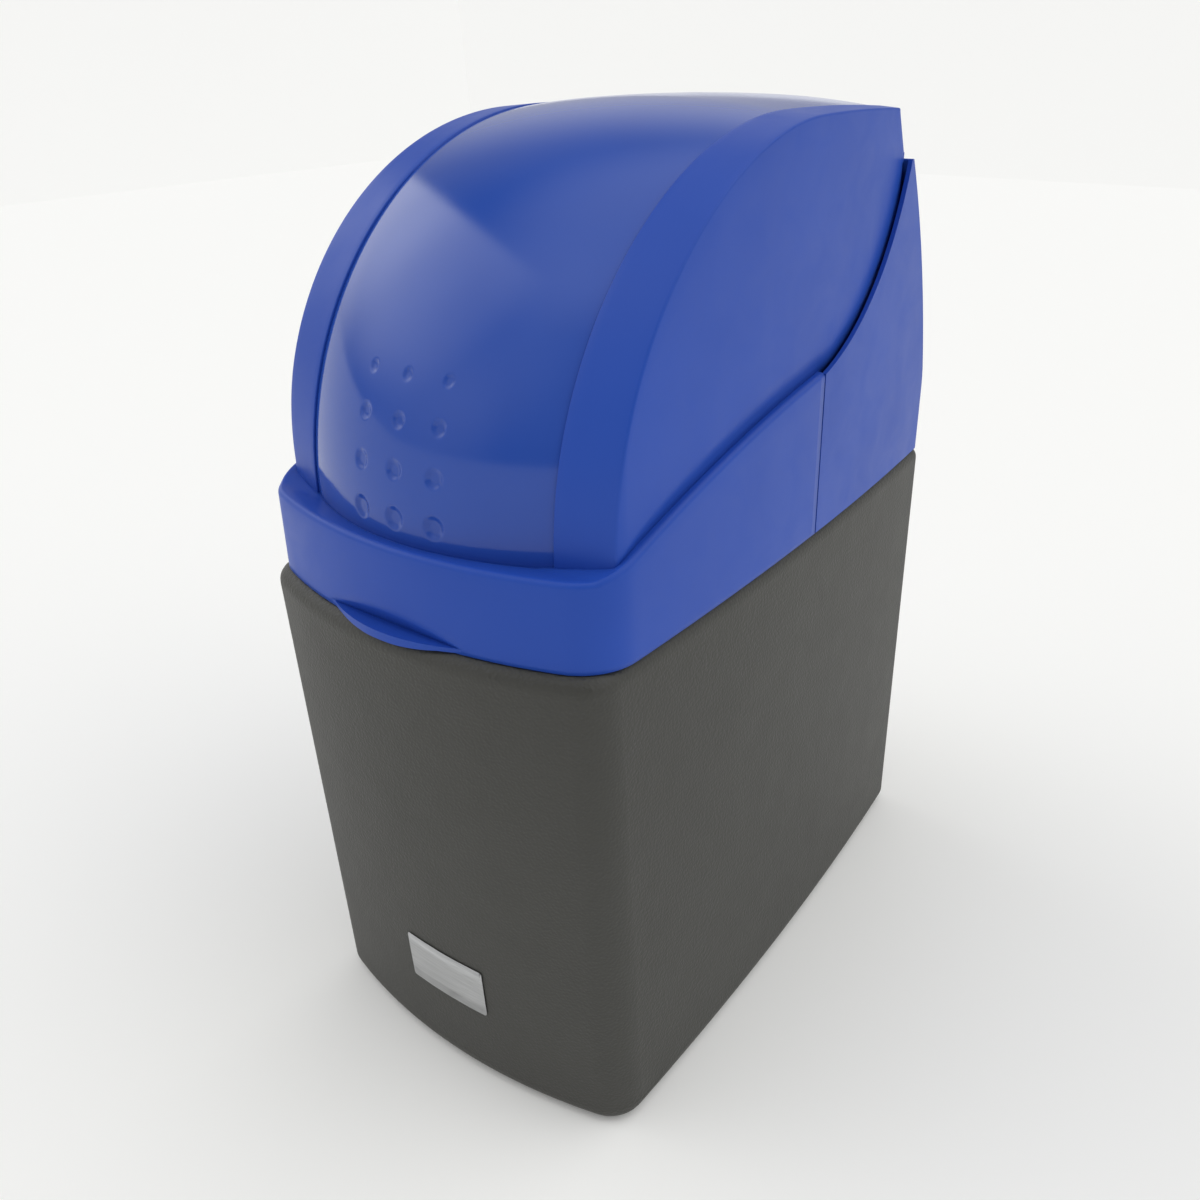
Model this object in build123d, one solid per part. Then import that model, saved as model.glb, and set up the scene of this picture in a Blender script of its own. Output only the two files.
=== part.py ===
from build123d import *
from math import acos, asin, cos, degrees, pi, radians, sin, sqrt, tan
import os

os.makedirs("parts", exist_ok=True)

# A compact cabinet water softener: brine tank, hinged lid, rear cover, resin vessel and control valve.
# Millimetres, front towards -Y, up is +Z, the floor is z = 0.

# General clearances and walls
seat_gap = 0.3
running_gap = 0.05
overrun = 5.0
wall_lid = 3.0
wall_cabinet = 4.5

# Casing, seen from above
cabinet_front_y = -244.0
cabinet_rear_y = 244.0
front_width = 270.0
seam_width = 252.0
rear_width = 207.0
seam_y = 27.0
front_corner_radius = 26.0
rear_corner_radius = 16.0
cabinet_bow = 29.0
foot_front_y = -221.0
foot_bow = 22.0

# Cabinet, seen from the side
cabinet_height = 344.0
foot_radius = 13.0
shoulder_radius = 10.0
collar_height = 12.0
collar_wall = 3.5
collar_side_inset = 5.0
collar_front_inset = 16.0

# Lid skirt
skirt_front_y = -237.5
skirt_rear_y = 240.0
skirt_bow = 30.0
ledge_front_z = 397.0
ledge_middle_y = -84.0
ledge_middle_z = 434.0
ledge_start_y = -205.0
ledge_radius = 3.5
seam_gap = 1.6

# Sweeping line between the lid and the rear cover
sweep_center_y = -13.0
sweep_center_z = 622.0
sweep_radius = 173.6

# Dome of the lid: two ridges and a sunk, crowned middle panel
dome_center_y = 16.0
dome_side_inset = 5.5
ridge_x = 95.0
ridge_reach = 210.0
ridge_rise = 185.0
ridge_top_z = 605.0
arris_reach = 206.0
arris_rise = 184.0
arris_top_z = 602.0
arris_x = 131.0
arris_radius = 1.5
panel_edge_reach = 208.0
panel_edge_rise = 206.0
panel_edge_top_z = 606.0
panel_reach = 241.0
panel_rise = 211.0
panel_top_z = 611.0
top_fall = 4.5
back_top_y = 136.0
back_foot_y = 151.0

# Dimples in the panel, four rows of three, larger towards the floor
dimple_rows_z = [485.0, 462.0, 436.0, 409.0]
dimple_radii = [3.6, 4.8, 6.0, 7.0]
dimple_depths = [0.9, 1.2, 1.5, 1.7]
dimple_pitch = 28.5

# Shallow slit in the crown of the panel
slit_length = 68.0
slit_width = 1.6
slit_depth = 0.9
slit_y = 15.0

# Finger lip and scoop at the front of the skirt
lip_half_width = 57.0
lip_reach = 7.0
lip_thickness = 2.7
lip_drop = 2.5
lip_nose = 6.5
scoop_depth = 5.0
scoop_height = 10.0

# Rear cover
rear_middle_y = 208.0
rear_middle_z = 465.0
rear_top_y = 156.0
rear_top_z = 567.0
pipe_window_width = 150.0
pipe_window_low_z = 446.0
pipe_window_height = 78.0
pipe_window_radius = 12.0

# Hinge
hinge_y = 151.0
hinge_z = 572.0
hinge_pin_radius = 2.5
hinge_bush_wall = 1.2
hinge_bush_flange = 1.0
hinge_knuckle_radius = 5.6
hinge_lug_x = 84.0
hinge_lug_width = 7.0
hinge_ear_width = 7.0
hinge_pin_head_radius = 4.0
hinge_pin_head_thickness = 1.5

# Resin vessel
vessel_y = 112.0
vessel_radius = 101.5
vessel_wall = 3.5
vessel_low_z = 8.5
vessel_top_z = 402.0
vessel_low_dome = 52.0
vessel_top_dome = 58.0
neck_radius = 40.0
neck_bore = 33.0
neck_top_z = 424.0
boot_height = 46.0
boot_wall = 2.5
boot_hole_radius = 60.0
resin_level_z = 292.0

# Riser and distributors
riser_radius = 13.35
riser_bore = 10.5
riser_top_z = 440.0
riser_socket = 12.0
basket_radius = 29.0
basket_height = 40.0
basket_wall = 2.5
basket_slots = 12
basket_slot_width = 2.0
top_basket_radius = 30.0
top_basket_tip_radius = 16.0
top_basket_height = 26.0

# Control valve body
seal_wire = 1.8
valve_spigot_length = 18.0
valve_collar_radius = 48.0
valve_collar_height = 10.0
drum_radius = 44.0
valve_top_z = 500.0
disc_well_radius = 29.0
disc_well_floor_z = 484.0
flange_radius = 50.0
flange_thickness = 7.0
port_x = 38.0
port_z = 476.0
port_radius = 17.0
port_bore = 11.5
port_reach = 64.0
port_bore_depth = 26.0
passage_radius = 5.0
cross_passage_radius = 4.0
riser_passage_radius = 9.0
drain_z = 458.0
drain_port_radius = 11.0
drain_port_bore = 6.0
drain_port_reach = 56.0
side_port_z = 458.0
side_port_reach = 58.0
injector_radius = 14.0
injector_bore = 9.0
injector_bore_depth = 30.0
injector_passage_radius = 3.0
brine_port_radius = 9.5
brine_port_bore = 4.5

# Ceramic discs, spindle and cover
disc_radius = 28.0
disc_thickness = 6.0
disc_window_radius = 5.5
disc_window_ring = 17.0
disc_windows = 4
cover_thickness = 8.0
cover_pocket_depth = 4.0
spindle_radius = 6.0
spindle_foot_radius = 12.0
spindle_foot_height = 4.0
spindle_neck_radius = 4.0
spindle_seal_wire = 1.0
key_length = 20.0
key_width = 3.0
key_depth = 2.0
cover_screw_ring = 45.0

# Gear train
gear_module = 1.5
gear_teeth = 48
pinion_teeth = 15
pressure_angle = 20.0
backlash = 0.3
addendum_share = 0.85
dedendum_share = 1.15
gear_width = 8.0
gear_low_z = 517.0
cam_radius = 20.0
cam_height = 3.0
cam_notch_radius = 4.0
spindle_flat = 1.2
gear_hole_ring = 26.5
gear_hole_radius = 4.5
gear_holes = 6
plate_low_z = 533.0
plate_thickness = 3.0
plate_half_width = 34.0
post_radius = 5.0
post_x = 43.0
post_spread_y = 9.0
plate_front_reach = 70.0
plate_wing = 14.0
screw_head_radius = 3.6
screw_head_height = 2.6
screw_radius = 1.9
screw_length = 10.0
screw_socket_radius = 1.6
screw_socket_depth = 1.4
motor_radius = 17.0
motor_height = 30.0
motor_boss_radius = 6.0
motor_boss_height = 2.5
motor_cap_height = 5.0
motor_shaft_radius = 3.0
motor_shaft_depth = 12.0
motor_ear_reach = 24.0
motor_ear_width = 10.0
motor_ear_thickness = 2.0
switch_length = 20.0
switch_depth = 10.0
switch_height = 6.4
switch_lever_thickness = 1.0
switch_lever_gap = 0.4

# Injector and brine elbow
injector_cap_radius = 16.0
injector_cap_thickness = 7.0
injector_cap_grips = 8
injector_grip_radius = 2.0
nozzle_radius = 8.8
nozzle_length = 20.0
nozzle_throat = 1.8
nozzle_mouth = 6.5
tube_radius = 4.75
tube_bore = 3.2
elbow_radius = 6.5
elbow_turn = 9.0
elbow_leg = 22.0
barb_length = 9.0

# Inlet and outlet adapters with their seals and clips
adapter_nose_radius = 11.2
adapter_nose_length = 18.0
adapter_flange_radius = 15.0
adapter_flange_thickness = 4.0
adapter_neck_radius = 10.5
adapter_neck_length = 22.0
adapter_hex_radius = 15.5
adapter_hex_length = 9.0
adapter_spigot_radius = 13.2
adapter_spigot_length = 17.0
adapter_bore = 7.3
adapter_seal_back = 6.0
adapter_seal_wire = 1.2
clip_thickness = 2.0
clip_width = 40.0
clip_height = 34.0

# Flow turbine in the outlet
turbine_radius = 5.9
turbine_hub_radius = 2.0
turbine_length = 8.0
turbine_blades = 6
turbine_blade_thickness = 0.9
turbine_blade_twist = 35.0
axle_radius = 0.8
cage_ring_wall = 1.0
cage_hub_radius = 1.9
cage_web = 1.0
cage_webs = 3
cage_thickness = 2.5
turbine_depth = 2.0

# Drain spigot
drain_spigot_radius = 7.0
drain_spigot_bore = 4.5
drain_flange_radius = 11.0
drain_flange_thickness = 4.0
drain_length = 46.0
drain_barb_rise = 1.2
drain_barbs = 4
drain_barb_pitch = 5.0
drain_nose = 12.0

# Brine well with its float valve
well_side_gap = 1.2
well_y = -14.0
well_radius = 36.0
well_wall = 2.5
well_top_z = 330.0
well_slot_width = 4.0
well_slot_height = 30.0
well_slots = 6
cap_thickness = 3.0
cap_skirt = 9.0
cap_wall = 2.2
cap_knob_radius = 9.0
cap_knob_height = 8.0
rod_offset = -12.0
pickup_offset = 20.0
valve_block_low_z = 252.0
valve_block_height = 62.0
valve_block_radius = 10.5
valve_block_overlap = 10.0
rod_radius = 3.0
rod_clearance = 0.1
rod_low_z = 62.0
rod_engagement = 8.0
float_travel = 38.0
float_radius = 20.0
float_height = 34.0
float_low_z = 118.0
float_edge_radius = 4.0
pickup_radius = 5.0
pickup_bore = 3.5
outlet_z = 302.0
outlet_radius = 5.0
outlet_reach = 16.0
check_radius = 9.0
check_low_z = 12.0
check_height = 34.0
check_wall = 1.6
check_slot_width = 4.0
check_slot_height = 16.0
ball_radius = 5.5

# Brine tube: its bends, from the well's outlet up to the valve's brine elbow
tube_rise_x = -15.0
tube_arrive_y = 56.0
tube_bend_radius = 11.0
tube_push = 12.0

# Salt grid
grid_z = 70.0
grid_thickness = 4.0
grid_slot_width = 6.0
grid_slot_length = 26.0
grid_pitch_x = 16.0
grid_pitch_y = 36.0
grid_edge = 8.0
grid_gap = 1.5
grid_rear_y = 60.0
leg_radius = 7.0
leg_places = [(-72.0, -172.0), (72.0, -172.0), (96.0, -8.0), (-16.0, -34.0)]

# Overflow
overflow_x = 66.0
overflow_z = 306.0
overflow_shank_radius = 9.5
overflow_flange_radius = 15.0
overflow_flange_thickness = 3.0
overflow_shank_length = 20.0
overflow_nut_radius = 15.5
overflow_nut_thickness = 6.0
overflow_seal_thickness = 2.0
overflow_elbow_radius = 8.5
overflow_reach = 15.0
overflow_spigot_radius = 7.0
overflow_spigot_length = 26.0
overflow_bore = 5.0

# Controller
control_y = -6.0
control_z = 545.0
control_tilt = 40.0
control_width = 140.0
control_length = 84.0
control_depth = 26.0
control_wall = 2.2
control_corner = 9.0
face_thickness = 3.0
board_margin = 4.0
board_thickness = 1.6
board_depth = 11.0
window_width = 62.0
window_length = 26.0
window_thickness = 1.5
window_shift = 14.0
window_frame = 3.0
button_radius = 6.5
button_flange = 1.4
button_flange_thickness = 1.2
button_stand = 2.2
button_travel = 1.5
button_pitch = 26.0
button_row = -20.0
button_stem_radius = 2.0
socket_radius = 5.0
socket_length = 13.0
socket_bore = 2.9
socket_pin = 1.0
socket_rim = 1.6
socket_back = 18.2
socket_y = 0.0
bracket_arm_x = 30.0
bracket_arm_width = 6.0
bracket_thickness = 3.0
bracket_rear_reach = 36.0
bracket_pad_length = 36.0
board_post_radius = 3.0
board_post_inset = 8.0
module_inset = 2.0

# Screws that hold the rear cover to the cabinet's collar
cover_screw_x = 62.0
cover_screw_rise = 6.0


on_base = (Align.CENTER, Align.CENTER, Align.MIN)


def plan_face(front_y, bow, rear_y, inset, z):
    """Outline of the casing from above: bowed front, bowed sides, straight rear."""
    half_front = front_width / 2 - inset
    half_seam = seam_width / 2 - inset
    half_rear = rear_width / 2 - inset
    corner_y = front_y + bow + inset
    edges = [
        ThreePointArc((-half_front, corner_y), (0, front_y + inset), (half_front, corner_y)),
        ThreePointArc((half_front, corner_y), (half_seam, seam_y), (half_rear, rear_y - inset)),
        Line((half_rear, rear_y - inset), (-half_rear, rear_y - inset)),
        ThreePointArc((-half_rear, rear_y - inset), (-half_seam, seam_y), (-half_front, corner_y)),
    ]
    face = make_face(edges).face()
    corners = face.vertices().sort_by(Axis.Y)
    face = face.fillet_2d(front_corner_radius - inset, corners[:2])
    corners = face.vertices().sort_by(Axis.Y)
    face = face.fillet_2d(max(rear_corner_radius - inset, seat_gap), corners[-2:])
    return Pos(0, 0, z) * face


def side_face(edges, x):
    """A face drawn in the side view, (y, z), standing at x."""
    return Plane.YZ.offset(x) * make_face(edges).face()


def side_prism(edges, half_width):
    """A side view shape that runs through the casing from left to right."""
    return extrude(side_face(edges, 0), amount=half_width, both=True)


def polygon(points):
    return [Line(a, b) for a, b in zip(points, points[1:] + points[:1])]


def upright(radius, low_z, high_z, x=0, y=0):
    """Round bar or hole that stands upright."""
    return Pos(x, y, low_z) * Cylinder(radius, high_z - low_z, align=on_base)


def along_x(radius, start_x, end_x, y, z):
    """Round bar or hole that runs to the right."""
    return Pos(start_x, y, z) * Rot(0, 90, 0) * Cylinder(radius, end_x - start_x, align=on_base)


def along_y(radius, start_y, end_y, x, z):
    """Round bar or hole that runs to the rear."""
    return Pos(x, start_y, z) * Rot(-90, 0, 0) * Cylinder(radius, end_y - start_y, align=on_base)


def block(x_range, y_range, z_range):
    """Square block between two ends on each axis."""
    ranges = (x_range, y_range, z_range)
    middle = [(low + high) / 2 for low, high in ranges]
    lengths = [high - low for low, high in ranges]
    return Pos(*middle) * Box(*lengths)


def around(count, radius, first=0):
    """Places on a circle, from an angle in degrees."""
    angles = [radians(first + 360 * i / count) for i in range(count)]
    return [(radius * cos(a), radius * sin(a)) for a in angles]


def bent_path(points, radius):
    """Straight runs joined by tangent arcs."""
    corners = [Vector(*point) for point in points]
    edges = []
    start = corners[0]
    for before, corner, after in zip(corners, corners[1:], corners[2:]):
        back = (before - corner).normalized()
        ahead = (after - corner).normalized()
        half_angle = radians(back.get_angle(ahead)) / 2
        reach = radius / tan(half_angle)
        arc_start = corner + back * reach
        arc_end = corner + ahead * reach
        bisector = (back + ahead).normalized()
        arc_middle = corner + bisector * (radius / sin(half_angle) - radius)
        edges.append(Line(start, arc_start))
        edges.append(ThreePointArc(arc_start, arc_middle, arc_end))
        start = arc_end
    edges.append(Line(start, corners[-1]))
    return Wire(edges)


def pipe(points, radius, bend_radius):
    """Round bar that follows a bent path."""
    path = bent_path(points, bend_radius)
    return sweep(Plane(origin=path @ 0, z_dir=path % 0) * Circle(radius), path=path)


def dome_profile(reach, rise, top_z, inset, low_z):
    """Side view of the dome: upright front, quarter ellipse, falling top, leaning back."""
    front = dome_center_y - reach + inset
    top = top_z - inset
    spring_z = top_z - rise
    back_top = (back_top_y - inset, top - top_fall)
    foot = (back_foot_y - inset, hinge_z)
    middle = ((dome_center_y + back_top_y - inset) / 2, top - top_fall / 4)
    quarter = EllipticalCenterArc(
        (dome_center_y, spring_z), reach - inset, rise - inset, 180, arc_size=-90
    )
    return [
        Line((front, low_z), (front, spring_z)),
        quarter,
        ThreePointArc((dome_center_y, top), middle, back_top),
        Line(back_top, foot),
        Line(foot, (foot[0], low_z)),
        Line((foot[0], low_z), (front, low_z)),
    ]


def dome_solid(inset, low_z):
    """The dome, with its sunk and crowned middle panel between two ridges."""
    edge_x = ridge_x + inset
    edge = dome_profile(panel_edge_reach, panel_edge_rise, panel_edge_top_z, inset, low_z)
    crown = dome_profile(panel_reach, panel_rise, panel_top_z, inset, low_z)
    ridge = dome_profile(ridge_reach, ridge_rise, ridge_top_z, inset, low_z)
    arris = dome_profile(arris_reach, arris_rise, arris_top_z, inset, low_z)
    panel = loft([side_face(edge, -edge_x), side_face(crown, 0), side_face(edge, edge_x)])
    right = loft([side_face(ridge, edge_x), side_face(arris, arris_x)], ruled=True)
    cheeks = extrude(
        plan_face(skirt_front_y, skirt_bow, skirt_rear_y, dome_side_inset + inset, low_z),
        amount=panel_top_z - low_z,
    )
    return (panel + right + mirror(right, Plane.YZ)) & cheeks


def ledge_end_z():
    return sweep_center_z - sqrt(sweep_radius**2 - (seam_y - sweep_center_y) ** 2)


def skirt_solid(inset, low_z):
    """The lid's skirt, under a ledge that climbs from the front to the seam."""
    front = cabinet_front_y - overrun
    end = (seam_y, ledge_end_z() - inset)
    start = (ledge_start_y, ledge_front_z - inset)
    side = [
        Line((front, low_z), (front, start[1])),
        Line((front, start[1]), start),
        ThreePointArc(start, (ledge_middle_y, ledge_middle_z - inset), end),
        Line(end, (seam_y, low_z)),
        Line((seam_y, low_z), (front, low_z)),
    ]
    plan = plan_face(skirt_front_y, skirt_bow, skirt_rear_y, inset, low_z)
    return extrude(plan, amount=ledge_end_z()) & side_prism(side, front_width)


def behind_sweep(gap, low_z):
    """Everything behind the seam and the sweeping line, in the side view."""
    reach = sweep_radius + gap
    start_y = seam_y + gap
    start = (start_y, sweep_center_z - sqrt(reach**2 - (start_y - sweep_center_y) ** 2))
    end_z = rear_top_z + gap
    end = (sweep_center_y + sqrt(reach**2 - (sweep_center_z - end_z) ** 2), end_z)
    turn = radians(-45)
    middle = (sweep_center_y + reach * cos(turn), sweep_center_z + reach * sin(turn))
    far = cabinet_rear_y + overrun
    return [
        Line((start_y, low_z), start),
        ThreePointArc(start, middle, end),
        Line(end, (far, end_z)),
        Line((far, end_z), (far, low_z)),
        Line((far, low_z), (start_y, low_z)),
    ]


lid_low_z = cabinet_height + seat_gap


def scoop_wedge(depth, half_width):
    """Wedge that hollows the skirt above the finger lip."""
    far = cabinet_front_y - lip_reach - overrun
    low = lid_low_z + lip_thickness
    deep = skirt_front_y + depth
    slope = scoop_depth / scoop_height
    high = low + scoop_height + overrun
    points = [(far, low), (deep, low), (deep - slope * (high - low), high), (far, high)]
    return side_prism(polygon(points), half_width)


def ledge_edges(skirt):
    """Outer edge of the ledge, round the front and both sides."""
    curved = [edge for edge in skirt.edges() if edge.geom_type != GeomType.LINE]
    return [edge for edge in curved if edge.bounding_box().min.Z > lid_low_z + scoop_height]


def arris_edges(dome):
    """Edges between the sloping bands and the cheeks."""
    found = []
    for edge in dome.edges():
        box = edge.bounding_box()
        outside = min(abs(box.min.X), abs(box.max.X)) > ridge_x + dome_side_inset
        lengthwise = box.size.Z > arris_radius and edge.geom_type != GeomType.LINE
        if outside and lengthwise:
            found.append(edge)
    return found


def panel_front(x, z):
    """Front of the sunk panel, at a place on its curved part."""
    crown_share = 1 - (x / ridge_x) ** 2
    edge_share = max(0, (z - panel_edge_top_z) / panel_edge_rise + 1)
    middle_share = max(0, (z - panel_top_z) / panel_rise + 1)
    edge = panel_edge_reach * sqrt(1 - edge_share**2)
    middle = panel_reach * sqrt(1 - middle_share**2)
    return dome_center_y - edge - (middle - edge) * crown_share


def dimples():
    """Shallow round cuts in the front of the panel, each part of a ball."""
    cuts = []
    for z, radius, depth in zip(dimple_rows_z, dimple_radii, dimple_depths):
        turn = asin(max(0, (z - panel_top_z) / panel_rise + 1))
        outward = Vector(0, -cos(turn) / panel_reach, sin(turn) / panel_rise).normalized()
        ball_size = (radius**2 + depth**2) / (2 * depth)
        for column in (-1, 0, 1):
            x = column * dimple_pitch
            center = Vector(x, panel_front(x, z), z) + outward * (ball_size - depth)
            cuts.append(Pos(*center) * Sphere(ball_size))
    return cuts


def slit():
    """Shallow slit across the crown of the panel, its floor along the crown."""
    half = slit_length / 2
    end_z = panel_top_z - (panel_top_z - panel_edge_top_z) * (half / ridge_x) ** 2 - slit_depth
    edges = [
        ThreePointArc((-half, end_z), (0, panel_top_z - slit_depth), (half, end_z)),
        Line((half, end_z), (half, panel_top_z + overrun)),
        Line((half, panel_top_z + overrun), (-half, panel_top_z + overrun)),
        Line((-half, panel_top_z + overrun), (-half, end_z)),
    ]
    face = Plane.XZ.offset(-slit_y) * make_face(edges).face()
    return extrude(face, amount=slit_width / 2, both=True)


def lid():
    low = lid_low_z
    skirt = skirt_solid(0, low)
    skirt = fillet(ledge_edges(skirt), ledge_radius)
    dome = dome_solid(0, low)
    dome = fillet(arris_edges(dome), arris_radius)
    shell = skirt + dome
    inner_low = low - overrun
    deep = skirt_front_y + scoop_depth + wall_lid
    cavity = skirt_solid(wall_lid, inner_low) + dome_solid(wall_lid, inner_low)
    backing = [
        (cabinet_front_y - overrun, inner_low),
        (deep, inner_low),
        (deep, low + lip_thickness),
        (skirt_front_y, low + lip_thickness + scoop_height + wall_lid + wall_lid),
        (cabinet_front_y - overrun, low + lip_thickness + scoop_height + wall_lid + wall_lid),
    ]
    cavity -= side_prism(polygon(backing), front_width / 2 - wall_lid)
    shell -= cavity
    shell -= scoop_wedge(scoop_depth, lip_half_width)
    for cut in dimples():
        shell -= cut
    shell -= slit()
    shell -= side_prism(behind_sweep(0, inner_low), front_width)
    lip_side = [
        (deep, low),
        (skirt_front_y, low),
        (skirt_front_y - lip_nose, low - lip_drop),
        (skirt_front_y - lip_reach - overrun, low - lip_drop),
        (skirt_front_y - lip_reach - overrun, low + lip_thickness),
        (deep, low + lip_thickness),
    ]
    root = deep
    lens = make_face([
        ThreePointArc((-lip_half_width, root), (0, skirt_front_y - lip_reach), (lip_half_width, root)),
        Line((lip_half_width, root), (-lip_half_width, root)),
    ]).face()
    lip = extrude(Pos(0, 0, low - overrun) * lens, amount=overrun + scoop_height)
    shell += lip & side_prism(polygon(lip_side), lip_half_width)
    return shell


# Places that several pieces share
at_vessel = Pos(0, vessel_y, 0)
cabinet_floor_z = wall_cabinet + seat_gap
lug_end_x = hinge_lug_x + hinge_lug_width
ear_start_x = lug_end_x + hinge_bush_flange + seat_gap
ear_end_x = ear_start_x + hinge_ear_width
bush_radius = hinge_pin_radius + running_gap + hinge_bush_wall
valve_low_z = neck_top_z + seat_gap
cover_low_z = valve_top_z + seat_gap
cover_top_z = cover_low_z + cover_thickness
fixed_disc_z = disc_well_floor_z + seat_gap
turning_disc_z = fixed_disc_z + disc_thickness + seat_gap
foot_low_z = turning_disc_z + disc_thickness + seat_gap
gear_top_z = gear_low_z + gear_width
plate_top_z = plate_low_z + plate_thickness
gear_distance = gear_module * (gear_teeth + pinion_teeth) / 2
vessel_floor_z = vessel_low_z + vessel_wall + seat_gap
dish_share = sqrt(1 - (basket_radius / (vessel_radius - vessel_wall)) ** 2)
basket_low_z = vessel_floor_z + (vessel_low_dome - vessel_wall) * (1 - dish_share)
basket_top_z = basket_low_z + basket_height
side_share = (seam_y - well_y) / (seam_y - skirt_front_y - skirt_bow)
side_half = (seam_width + (front_width - seam_width) * side_share) / 2
cap_radius = well_radius + seat_gap + cap_wall
well_x = collar_side_inset + collar_wall + cap_radius + well_side_gap - side_half
rod_x = well_x + rod_offset
pickup_x = well_x + pickup_offset
block_top_z = valve_block_low_z + valve_block_height
elbow_x = -side_port_reach - seat_gap - elbow_turn
control_frame = Plane(
    origin=(0, control_y, control_z),
    x_dir=(1, 0, 0),
    z_dir=(0, -sin(radians(control_tilt)), cos(radians(control_tilt))),
)
button_places = [(i - 1.5) * button_pitch for i in range(4)]


def both_sides(shape):
    """A shape and its mirror image, left and right."""
    return [shape, mirror(shape, Plane.YZ)]


def group(shapes):
    """Separate solids of one node."""
    return Compound(children=[solid for shape in shapes for solid in shape.solids()])


def cabinet_block(inset):
    """The tank's outside or inside: its front leans in towards the floor."""
    low = plan_face(foot_front_y, foot_bow, cabinet_rear_y, inset, inset)
    high = plan_face(cabinet_front_y, cabinet_bow, cabinet_rear_y, inset, cabinet_height - inset)
    return loft([low, high], ruled=True)


def collar_block(inset, low_z, high_z):
    """Upstand around the tank's opening, inside the lid and the rear cover."""
    front_y = cabinet_front_y + collar_front_inset - collar_side_inset
    face = plan_face(front_y, cabinet_bow, skirt_rear_y, collar_side_inset + inset, low_z)
    return extrude(face, amount=high_z - low_z)


def cabinet():
    shell = cabinet_block(0)
    levels = shell.edges().group_by(Axis.Z)
    shell = fillet(levels[0], foot_radius)
    shell = fillet(shell.edges().group_by(Axis.Z)[-1], shoulder_radius)
    shell -= cabinet_block(wall_cabinet)
    rim_z = cabinet_height - wall_cabinet
    shell += collar_block(0, rim_z, cabinet_height + collar_height)
    shell -= collar_block(collar_wall, rim_z - overrun, cabinet_height + collar_height + overrun)
    hole_start = cabinet_rear_y - wall_cabinet - overrun
    hole_end = cabinet_rear_y + overrun
    shell -= along_y(overflow_shank_radius + seat_gap, hole_start, hole_end, overflow_x, overflow_z)
    for side in (-1, 1):
        shell -= rear_cover_screw_hole(side * cover_screw_x, screw_radius)
    return shell


def rear_cover_screw_hole(x, radius):
    start = skirt_rear_y - collar_side_inset - collar_wall - overrun
    return along_y(radius, start, skirt_rear_y + overrun, x, cabinet_height + cover_screw_rise)


def hinge_round(radius, start_x, end_x):
    return along_x(radius, start_x, end_x, hinge_y, hinge_z)


def hinge_lugs():
    """Two knuckles inside the lid's rear edge, each on a rib up to the lid."""
    knuckle = hinge_round(hinge_knuckle_radius, hinge_lug_x, lug_end_x)
    rib_top_z = ridge_top_z - top_fall - wall_lid - hinge_knuckle_radius
    rib = polygon([
        (hinge_y - hinge_knuckle_radius, hinge_z),
        (hinge_y, hinge_z),
        (back_top_y, rib_top_z),
        (back_top_y - 2 * hinge_knuckle_radius, rib_top_z),
    ])
    side = extrude(side_face(rib, hinge_lug_x), amount=hinge_lug_width)
    return both_sides(knuckle + side)


def rear_region(inset):
    """Side view of all that lies ahead of the rear cover's sloping back."""
    low_z = lid_low_z - 2 * overrun
    start = (skirt_rear_y - inset, lid_low_z)
    middle = (rear_middle_y - inset, rear_middle_z - inset / 2)
    end = (rear_top_y - inset, rear_top_z)
    front = skirt_front_y
    return [
        Line((start[0], low_z), start),
        ThreePointArc(start, middle, end),
        Line(end, (front, rear_top_z)),
        Line((front, rear_top_z), (front, low_z)),
        Line((front, low_z), (start[0], low_z)),
    ]


def cover_block(inset, low_z):
    plan = plan_face(skirt_front_y, skirt_bow, skirt_rear_y, inset, low_z)
    return extrude(plan, amount=rear_top_z - low_z) & side_prism(rear_region(inset), front_width)


def hinge_ear():
    """Ear inside the rear cover that holds one hinge pin."""
    foot_y = rear_top_y + hinge_knuckle_radius
    foot_z = rear_top_z - rear_top_y + hinge_y - hinge_knuckle_radius * 4
    arm = polygon([
        (hinge_y - hinge_knuckle_radius, hinge_z),
        (hinge_y + hinge_knuckle_radius, hinge_z),
        (foot_y + hinge_knuckle_radius, foot_z),
        (foot_y - hinge_knuckle_radius * 2, foot_z),
    ])
    ear = extrude(side_face(arm, ear_start_x), amount=hinge_ear_width)
    ear &= side_prism(rear_region(wall_lid / 2), front_width)
    ear += hinge_round(hinge_knuckle_radius, ear_start_x, ear_end_x)
    return ear


def rear_cover():
    shell = cover_block(0, lid_low_z) & side_prism(behind_sweep(seam_gap, lid_low_z), front_width)
    shell -= cover_block(wall_lid, lid_low_z - overrun)
    window = Plane.XZ * RectangleRounded(pipe_window_width, pipe_window_height, pipe_window_radius)
    window_z = pipe_window_low_z + pipe_window_height / 2
    shell -= Pos(0, rear_top_y - overrun, window_z) * extrude(window, amount=-cabinet_rear_y / 2)
    knuckle_room = hinge_knuckle_radius + 2 * seat_gap
    for room in both_sides(hinge_round(knuckle_room, hinge_lug_x - seat_gap, ear_start_x)):
        shell -= room
    for ear in both_sides(hinge_ear()):
        shell += ear
    for hole in both_sides(hinge_round(hinge_pin_radius, hinge_lug_x, ear_end_x + overrun)):
        shell -= hole
    for side in (-1, 1):
        shell -= rear_cover_screw_hole(side * cover_screw_x, screw_radius)
    return shell


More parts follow.
